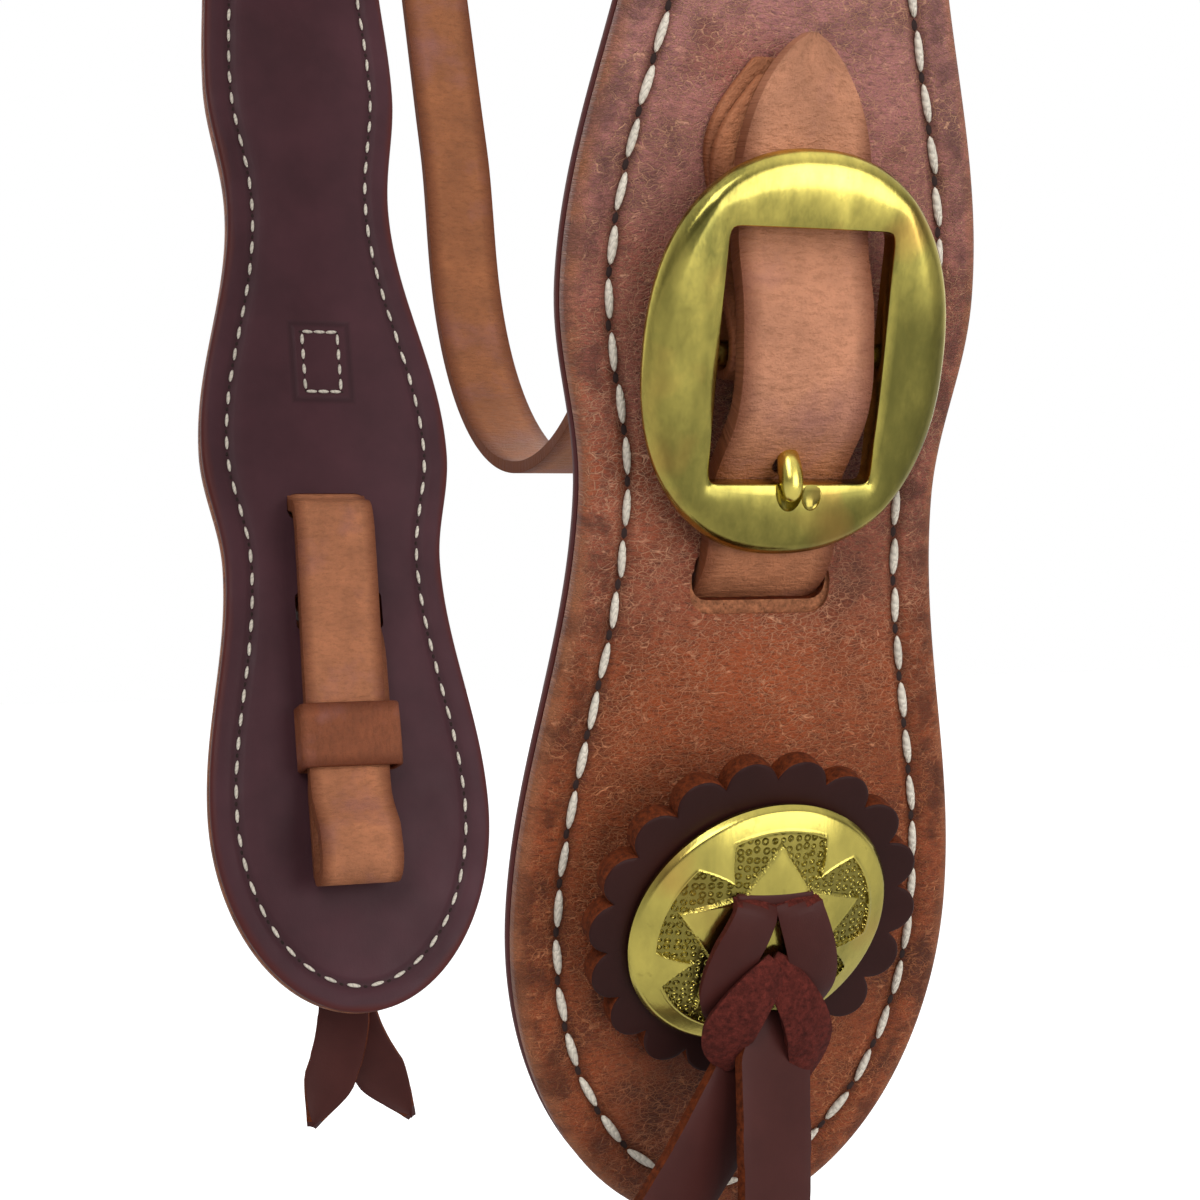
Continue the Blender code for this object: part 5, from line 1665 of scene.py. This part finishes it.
def crown_strap(sizes):
    middle_y = (CROWN_FACE_Y + CROWN_BACK_Y) / 2
    centre = (0, SLOT_Z + CROWN_CENTRE)
    low = CHEEK_TOP - CROWN_LAP
    ends = [hung(side, middle_y, low) for side in (-1, 1)]
    mids = [hung(side, middle_y, low + 0.02) for side in (-1, 1)]
    bend = arc(centre, ARC_R - middle_y, math.pi + LEAN, -LEAN, 120)
    path = yz_path([ends[0], mids[0], *bend, mids[1], ends[1]])
    obj = strap("crown_dress", path, 260, 12, CROWN_WIDTH, CROWN_THICK, "plum", 0.0011)
    side_marks(obj, CROWN_WIDTH / 2)
    store(obj, "edge", lambda co: min(max(CROWN_WIDTH / 2 - abs(co.x), 0.0) + 0.0002, 0.004))
    give(obj, "headstall", ["crown_strap"])
    return obj


def browband(sizes):
    wide, thick, half = BROW_WIDTH, BROW_THICK, BROW_HALF
    height = SLOT_Z + BROW_Z * math.cos(LEAN)
    side_y = CHEEK_SPREAD / 2 + BROW_Z * math.sin(LEAN)
    start = half + thick / 2
    half_path = [
        (-start, -side_y), (-0.040, -side_y + 0.002), (-0.070, -side_y + 0.024), (-0.094, -0.070),
        (-0.1040, -0.025),
    ]
    flat = smooth_path(half_path + [(x, -y) for x, y in reversed(half_path)], 16)
    path = [(x, y, height) for x, y in flat]
    band = strap("brow_band", path, 220, 8, wide, thick, "russet", 0.0007, Vector((0, 0, 1)))
    y_low = GRAIN_Y - 0.0001 - 0.0009 - GAP - thick / 2
    y_high = CROWN_BACK_Y + GAP + thick / 2

    def place(spot, v):
        return Vector((spot.x, spot.y, BROW_Z + (v - 0.5) * wide))

    shape = (start, y_low, y_high, 0.0030, 10, 180, 8, wide, thick, 0.0007)
    loops = [on_cheek(strap_loop("brow_loop", *shape, "russet", place), sign) for _, sign in SIDES]
    obj = joined("brow_dress", [band, *loops])
    settled(obj, 60)
    store(obj, "edge", lambda co: 0.0040)
    give(obj, "headstall", ["browband"])
    return obj


# The throatlatch

THROAT_X = 0.0125
THROAT_WIDE = 0.0127
THROAT_THICK = 0.0020
THROAT_LOW = 0.0220
THROAT_R = 0.0520
THROAT_TURN_Z = 0.0760
THROAT_FACETS = (6, 10)
THROAT_BAR_R = 0.0011
THROAT_TONGUE_R = 0.0008
THROAT_WINDOW = (0.0142, 0.0127)
THROAT_FRAME = (0.0190, 0.0175)
THROAT_WIRE = 0.0024
THROAT_KEEPER_UP = 0.0120
THROAT_KEEPER_TALL = 0.0060
THROAT_BUCKLE_Z = 0.1900
THROAT_Y = CROWN_BACK_Y + GAP + THROAT_THICK / 2


def throat_line():
    """The right half of the throatlatch's hang, from its sewn end down to the middle of the U, in y and z."""
    step = CROWN_SWEEP / CROWN_FACETS
    high, low = (THROAT_FACETS[k] * step - LEAN for k in (1, 0))
    centre = (0, SLOT_Z + CROWN_CENTRE)
    sewn = arc(centre, ARC_R - THROAT_Y, high, low, 4)
    y, z = sewn[-1]
    leave = [(y + 0.0012, z - 0.0060), (y + 0.0002, z - 0.0130)]
    turn_z = SLOT_Z + THROAT_TURN_Z
    slope = (y - 0.0030 - THROAT_R) / (z - 0.0260 - turn_z)
    heights = (z - 0.0260, z - 0.0320, turn_z + 0.0180, turn_z + 0.0060)
    slant = [(THROAT_R + slope * (h - turn_z), h) for h in heights]
    drop = THROAT_TURN_Z - THROAT_LOW
    bowl = arc((0, turn_z), THROAT_R, 0.0, -RIGHT_TURN, 5)[1:]
    bowl = [(by, turn_z + (bz - turn_z) * drop / THROAT_R) for by, bz in bowl]
    return sewn, leave, slant, bowl


def throat_buckle_place():
    """The left buckle's bar, on the slant stretch, with z up the strap."""
    slant = throat_line()[2]
    top, low = (Vector((-y, z)) for y, z in (slant[1], slant[2]))
    along = (top - low).normalized()
    bar = low + along * ((SLOT_Z + THROAT_BUCKLE_Z - low.y) / along.y)
    turn = math.atan2(-along.x, along.y)
    return Matrix.Translation((THROAT_X, bar.x, bar.y)) @ Matrix.Rotation(turn, 4, "X")


def in_buckle(points):
    place = throat_buckle_place()
    return [tuple((place @ Vector((0, y, z))).yz) for y, z in points]


THROAT_BACK = THROAT_THICK / 2 + GAP / 2
THROAT_FOLD = THROAT_BAR_R + GAP + THROAT_THICK / 2
THROAT_OVER = THROAT_FOLD + THROAT_THICK + GAP


def throat_straps(sizes):
    sewn, leave, slant, bowl = throat_line()
    back, fold, over = THROAT_BACK, THROAT_FOLD, THROAT_OVER
    left = [(-y, z) for y, z in leave + slant[:2]]
    lead = [(back, 0.0190), (back, 0.0170), (back, 0.0085), (back, 0.0070), (fold - 0.0002, 0.0022)]
    lead = in_buckle(lead)
    turn = in_buckle(arc((0, 0), fold, 0, -math.pi, 16))
    rise = in_buckle([(-fold + 0.0002, 0.0022), (-back, 0.0070), (-back, 0.0085), (-back, 0.0170)])
    path = [(-y, z) for y, z in sewn] + smooth_path([*left, *lead], 8) + turn + smooth_path(rise, 8)
    path = yz_path(path, THROAT_X)
    short = strap("throat_short", path, 170, 6, THROAT_WIDE, THROAT_THICK, "throat", 0.0006)
    room = box_tool((0.0036, 0.02, 0.0080), (0, 0, -0.0012), "cut_tan")
    room.data.transform(throat_buckle_place())
    short = side_marks(settled(cut(short, room), 50), THROAT_WIDE / 2, THROAT_X)
    give(short, "headstall", ["throatlatch_short_strap"])
    left_bowl = [(-y, z) for y, z in reversed(bowl[:-1])]
    rim = THROAT_WINDOW[1] + 0.0010
    layer = -back - THROAT_THICK - GAP
    up = in_buckle(
        [
            (-0.0006, -rim - 0.0100), (-0.0006, -rim + 0.0020), (-over, -0.0010), (-over, 0.0020),
            (layer, 0.0090), (layer, 0.0120), (layer, 0.0300),
        ]
    )
    path = yz_path(sewn + smooth_path([*leave, *slant, *bowl, *left_bowl, *up], 10), THROAT_X)
    wide = pointed(path, THROAT_WIDE, 0.010, 0.6)
    long = strap("throat_long", path, 420, 6, wide, THROAT_THICK, "throat", 0.0006)
    hole = slot_tool(0.0028, 0.0110, -rim / 2 + 0.0006, -0.012, 0.004, "cut_tan", 0.0013)
    hole.data.transform(throat_buckle_place())
    long = side_marks(settled(cut(long, hole), 50), THROAT_WIDE / 2, THROAT_X)
    give(long, "headstall", ["throatlatch_long_strap"])


def throat_tilt():
    return Matrix.Rotation(-math.atan2(0.0030, THROAT_WINDOW[1]), 4, "X")


def throat_buckle(sizes):
    """The throatlatch's buckle, and its tongue, which rides on a body of its own."""
    wire = THROAT_WIRE
    half_x, half_z = (size / 2 - wire / 2 for size in THROAT_FRAME)
    middle = -THROAT_WINDOW[1] / 2
    ring = []
    for angle in (math.tau * k / 120 for k in range(120)):
        r = oval_radius(angle, half_x, half_z, 5.0)
        ring.append((r * math.cos(angle), r * math.sin(angle)))
    track = Track(ring, closed=True)

    def place(u, v):
        along, angle = track.along(u), v * math.tau
        spot = track.at(u) + Vector((along.y, -along.x)) * (wire / 2) * math.cos(angle)
        return Vector((spot.x, 0.0010 * math.sin(angle), middle + spot.y))

    hoop = as_object("throat_hoop", welded(mesh_grid(120, 14, place, (0.06, 0.008))), finishes("brass"))
    ends = [(-0.0078, 0, 0), (0.0078, 0, 0)]
    bar = rod("throat_bar", ends, lambda u: THROAT_BAR_R, 8, 16, 1.0, Vector((0, 0, 1)))
    obj = joined("throat_buckle_dress", [hoop, bar])
    obj.data.transform(throat_buckle_place() @ throat_tilt())
    give(settled(obj, 50), "headstall", ["throatlatch_buckle"])
    lie = -0.0010 - GAP - THROAT_TONGUE_R
    eye_r = THROAT_BAR_R + GAP
    middle_y = eye_r + THROAT_TONGUE_R * 0.7
    line = [Vector((0, -middle_y, -0.0002)), Vector((0, -middle_y - 0.0002, -0.0020))]
    line += [throat_tilt() @ Vector((0, lie, past - THROAT_WINDOW[1])) for past in (0.0010, -0.0026)]
    def radius(u):
        return THROAT_TONGUE_R * rounded_off(u, 0.88)

    shank = rod("throat_shank", [tuple(spot) for spot in line], radius, 40, 14)
    hoop = eye("throat_eye", (0, 0), eye_r, 0.0008, 0.0011, 1.0, 32, 12, (0.01, 0.004))
    tongue = joined("throat_tongue_dress", [shank, hoop])
    tongue.data.transform(throat_buckle_place())
    give(settled(tongue, 50), "throatlatch_tongue", ["throatlatch_tongue"])


def throat_keeper(sizes):
    y_high = THROAT_BACK + THROAT_THICK / 2 + GAP + KEEPER / 2
    y_low = -THROAT_BACK - 1.5 * THROAT_THICK - GAP - GAP - KEEPER / 2
    half = THROAT_WIDE / 2 + GAP + KEEPER / 2
    tall = THROAT_KEEPER_TALL

    def place(spot, v):
        return Vector((spot.x, spot.y, THROAT_KEEPER_UP + (v - 0.5) * tall))

    shape = (half, y_low, y_high, 0.0010, 6, 90, 6, tall, KEEPER, 0.0004)
    obj = strap_loop("throat_keeper_dress", *shape, "keeper", place)
    store(obj, "side", lambda co: max(tall / 2 - abs(co.z - THROAT_KEEPER_UP), 0.0))
    obj.data.transform(throat_buckle_place())
    give(obj, "throatlatch_keeper", ["throatlatch_keeper"])


# The stage

FLOOR_Z = -0.62

# Each lamp's name, place, aim, power and size
LAMPS = (
    ("key", (-0.55, -0.95, 0.35), (0, -0.10, -0.33), 5.0, 0.60),
    ("fill", (0.42, -1.15, -0.33), (0, -0.10, -0.35), 7.5, 0.90),
    ("back", (0.30, 0.90, 0.30), (0, 0.05, -0.30), 5.0, 0.80),
)

# The camera of the photograph: its lens, its place, and its heading, pitch and roll in degrees
PHOTO_LENS = 68.5
PHOTO_FROM = (-0.1127, -0.3567, -0.3601)
PHOTO_TURN = (-20.32, 91.07, -1.36)


def white_ground(name):
    """A pale surface that looks white in the picture and in reflections, and keeps the object's shadow."""
    made, tree, shader = new_material(name)
    shader.inputs["Base Color"].default_value = (0.55, 0.55, 0.55, 1.0)
    shader.inputs["Roughness"].default_value = 0.9
    rays = tree.nodes.new("ShaderNodeLightPath").outputs
    glossy = times(tree, rays["Is Glossy Ray"], 0.16)
    seen = most(tree, rays["Is Camera Ray"], rays["Is Transmission Ray"], glossy)
    lift = wired(tree, "ShaderNodeEmission", {"Color": (1, 1, 1, 1)}, Strength=times(tree, seen, 0.90))
    both = tree.nodes.new("ShaderNodeAddShader")
    tree.links.new(shader.outputs[0], both.inputs[0])
    tree.links.new(lift.outputs[0], both.inputs[1])
    tree.links.new(both.outputs[0], tree.nodes["Material Output"].inputs["Surface"])
    return made


def stage(sizes):
    """The floor, a room that is bright around and over the headstall, three soft lamps and the camera."""
    bm = bmesh.new()
    bmesh.ops.create_grid(bm, x_segments=1, y_segments=1, size=12.0)
    bmesh.ops.translate(bm, verts=bm.verts, vec=(0, 0, FLOOR_Z))
    floor = as_object("floor", bm, [white_ground("pale_floor")])
    floor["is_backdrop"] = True
    world = bpy.data.worlds.new("studio")
    bpy.context.scene.world = world
    world.use_nodes = True
    tree = world.node_tree
    tree.nodes.clear()
    rays = tree.nodes.new("ShaderNodeLightPath").outputs
    seen = most(tree, rays["Is Camera Ray"], rays["Is Glossy Ray"], rays["Is Transmission Ray"])
    soft = wired(tree, "ShaderNodeBackground", {"Color": (0.95, 0.97, 1.0, 1.0), "Strength": 0.55})
    plain = wired(tree, "ShaderNodeBackground", {"Color": (1, 1, 1, 1)})
    aim = wired(tree, "ShaderNodeSeparateXYZ", Vector=wired(tree, "ShaderNodeTexCoord").outputs["Generated"])
    sides = remap(tree, aim.outputs["Y"], -0.35, 0.60, 0.20, 1.0)
    room = most(tree, sides, remap(tree, aim.outputs["Z"], 0.15, 0.80, 0.0, 1.0))
    straight = most(tree, rays["Is Camera Ray"], rays["Is Transmission Ray"])
    tree.links.new(most(tree, room, straight), plain.inputs["Strength"])
    mix = tree.nodes.new("ShaderNodeMixShader")
    tree.links.new(seen, mix.inputs[0])
    tree.links.new(soft.outputs[0], mix.inputs[1])
    tree.links.new(plain.outputs[0], mix.inputs[2])
    out = tree.nodes.new("ShaderNodeOutputWorld")
    tree.links.new(mix.outputs[0], out.inputs["Surface"])
    for name, place, aim, power, size in LAMPS:
        lamp = bpy.data.lights.new(name, "AREA")
        lamp.energy = power
        lamp.size = size
        obj = linked(name, lamp)
        obj.location = place
        obj.rotation_euler = (Vector(aim) - Vector(place)).to_track_quat("-Z", "Y").to_euler()
    camera = bpy.data.cameras.new("photograph")
    camera.sensor_width = 36.0
    camera.lens = PHOTO_LENS
    camera.clip_start = 0.01
    obj = linked("photograph", camera)
    heading, pitch, roll = (
        Matrix.Rotation(math.radians(angle), 4, axis) for angle, axis in zip(PHOTO_TURN, ("Z", "X", "Z"))
    )
    obj.rotation_euler = (heading @ pitch @ roll).to_euler()
    obj.location = PHOTO_FROM
    bpy.context.scene.camera = obj
    bpy.context.scene.view_settings.view_transform = "Standard"


# Operators, in the order in which the pieces are built


class PieceOperator:
    """What the piece operators share. Sizes come from the scene, and a piece that fails raises its error."""

    bl_options = {"REGISTER", "UNDO"}

    def sizes(self, context):
        return context.scene.headstall_sizes


class HEADSTALL_OT_stage(PieceOperator, bpy.types.Operator):
    """Set up the pale floor, the soft lamps and the camera"""

    bl_idname = "headstall.stage"
    bl_label = "Stage"

    def execute(self, context):
        stage(self.sizes(context))
        return {"FINISHED"}


class HEADSTALL_OT_cheek_leather(PieceOperator, bpy.types.Operator):
    """Build the grained outer layer of both cheeks"""

    bl_idname = "headstall.cheek_leather"
    bl_label = "Cheek leather"

    def execute(self, context):
        cheek_leather(self.sizes(context))
        return {"FINISHED"}


class HEADSTALL_OT_cheek_lining(PieceOperator, bpy.types.Operator):
    """Build the smooth lining of both cheeks"""

    bl_idname = "headstall.cheek_lining"
    bl_label = "Cheek lining"

    def execute(self, context):
        cheek_lining(self.sizes(context))
        return {"FINISHED"}


class HEADSTALL_OT_edge_stitching(PieceOperator, bpy.types.Operator):
    """Sew the cheeks' edges, on the grain side and the lining side"""

    bl_idname = "headstall.edge_stitching"
    bl_label = "Edge stitching"

    def execute(self, context):
        edge_stitching(self.sizes(context))
        return {"FINISHED"}


class HEADSTALL_OT_box_stitching(PieceOperator, bpy.types.Operator):
    """Sew the small rectangles that hold the bit straps, and the crown's laps"""

    bl_idname = "headstall.box_stitching"
    bl_label = "Box stitching"

    def execute(self, context):
        box_stitching(self.sizes(context))
        return {"FINISHED"}


class HEADSTALL_OT_bit_strap(PieceOperator, bpy.types.Operator):
    """Build the tan straps that carry the bit and pass through the buckles"""

    bl_idname = "headstall.bit_strap"
    bl_label = "Bit strap"

    def execute(self, context):
        bit_strap(self.sizes(context))
        return {"FINISHED"}


class HEADSTALL_OT_strap_keeper(PieceOperator, bpy.types.Operator):
    """Build the sliding keepers"""

    bl_idname = "headstall.strap_keeper"
    bl_label = "Strap keeper"

    def execute(self, context):
        strap_keeper(self.sizes(context))
        return {"FINISHED"}


class HEADSTALL_OT_buckle(PieceOperator, bpy.types.Operator):
    """Build the cart buckles with their chapes and tongues"""

    bl_idname = "headstall.buckle"
    bl_label = "Buckle"

    def execute(self, context):
        buckle_chape(self.sizes(context))
        buckle_frame(self.sizes(context))
        buckle_tongue(self.sizes(context))
        return {"FINISHED"}


class HEADSTALL_OT_rosette(PieceOperator, bpy.types.Operator):
    """Build the scalloped rosettes"""

    bl_idname = "headstall.rosette"
    bl_label = "Rosette"

    def execute(self, context):
        rosette(self.sizes(context))
        return {"FINISHED"}


class HEADSTALL_OT_concho(PieceOperator, bpy.types.Operator):
    """Build the stamped brass conchos"""

    bl_idname = "headstall.concho"
    bl_label = "Concho"

    def execute(self, context):
        concho(self.sizes(context))
        return {"FINISHED"}


class HEADSTALL_OT_tie(PieceOperator, bpy.types.Operator):
    """Plait the lace ties and hang their tails"""

    bl_idname = "headstall.tie"
    bl_label = "Tie"

    def execute(self, context):
        tie_knot(self.sizes(context))
        tie_tails(self.sizes(context))
        return {"FINISHED"}


class HEADSTALL_OT_crown_strap(PieceOperator, bpy.types.Operator):
    """Build the strap over the poll"""

    bl_idname = "headstall.crown_strap"
    bl_label = "Crown strap"

    def execute(self, context):
        crown_strap(self.sizes(context))
        return {"FINISHED"}


class HEADSTALL_OT_browband(PieceOperator, bpy.types.Operator):
    """Build the band across the brow"""

    bl_idname = "headstall.browband"
    bl_label = "Browband"

    def execute(self, context):
        browband(self.sizes(context))
        return {"FINISHED"}


class HEADSTALL_OT_throatlatch(PieceOperator, bpy.types.Operator):
    """Build the throatlatch with its buckle and keeper"""

    bl_idname = "headstall.throatlatch"
    bl_label = "Throatlatch"

    def execute(self, context):
        throat_straps(self.sizes(context))
        throat_buckle(self.sizes(context))
        throat_keeper(self.sizes(context))
        return {"FINISHED"}


OPERATORS = (
    HEADSTALL_OT_stage,
    HEADSTALL_OT_cheek_leather,
    HEADSTALL_OT_cheek_lining,
    HEADSTALL_OT_edge_stitching,
    HEADSTALL_OT_box_stitching,
    HEADSTALL_OT_bit_strap,
    HEADSTALL_OT_strap_keeper,
    HEADSTALL_OT_buckle,
    HEADSTALL_OT_rosette,
    HEADSTALL_OT_concho,
    HEADSTALL_OT_tie,
    HEADSTALL_OT_crown_strap,
    HEADSTALL_OT_browband,
    HEADSTALL_OT_throatlatch,
)


class HEADSTALL_PT_panel(bpy.types.Panel):
    """The headstall's sizes, colours and pieces"""

    bl_label = "Headstall"
    bl_idname = "HEADSTALL_PT_panel"
    bl_space_type = "VIEW_3D"
    bl_region_type = "UI"
    bl_category = "Headstall"

    def draw(self, context):
        layout = self.layout
        for group in (context.scene.headstall_sizes, context.scene.headstall_colours):
            column = layout.column(align=True)
            for name in group.__annotations__:
                column.prop(group, name)
        column = layout.column(align=True)
        for operator in OPERATORS:
            column.operator(operator.bl_idname, text=operator.bl_label)


CLASSES = (HeadstallSizes, HeadstallColours, *OPERATORS, HEADSTALL_PT_panel)


def register():
    for cls in CLASSES:
        bpy.utils.register_class(cls)
    bpy.types.Scene.headstall_sizes = PointerProperty(type=HeadstallSizes)
    bpy.types.Scene.headstall_colours = PointerProperty(type=HeadstallColours)


def unregister():
    del bpy.types.Scene.headstall_colours
    del bpy.types.Scene.headstall_sizes
    for cls in reversed(CLASSES):
        bpy.utils.unregister_class(cls)


def plain(box):
    return [[float(value) for value in corner] for corner in box]


def main():
    register()
    bpy.ops.headstall.stage()
    bpy.ops.headstall.cheek_leather()
    bpy.ops.headstall.cheek_lining()
    bpy.ops.headstall.edge_stitching()
    bpy.ops.headstall.box_stitching()
    bpy.ops.headstall.bit_strap()
    bpy.ops.headstall.strap_keeper()
    bpy.ops.headstall.buckle()
    bpy.ops.headstall.rosette()
    bpy.ops.headstall.concho()
    bpy.ops.headstall.tie()
    bpy.ops.headstall.crown_strap()
    bpy.ops.headstall.browband()
    bpy.ops.headstall.throatlatch()
    {"cad": plain(CAD_BOX), "visual": plain(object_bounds())}


if __name__ == "__main__":
    main()
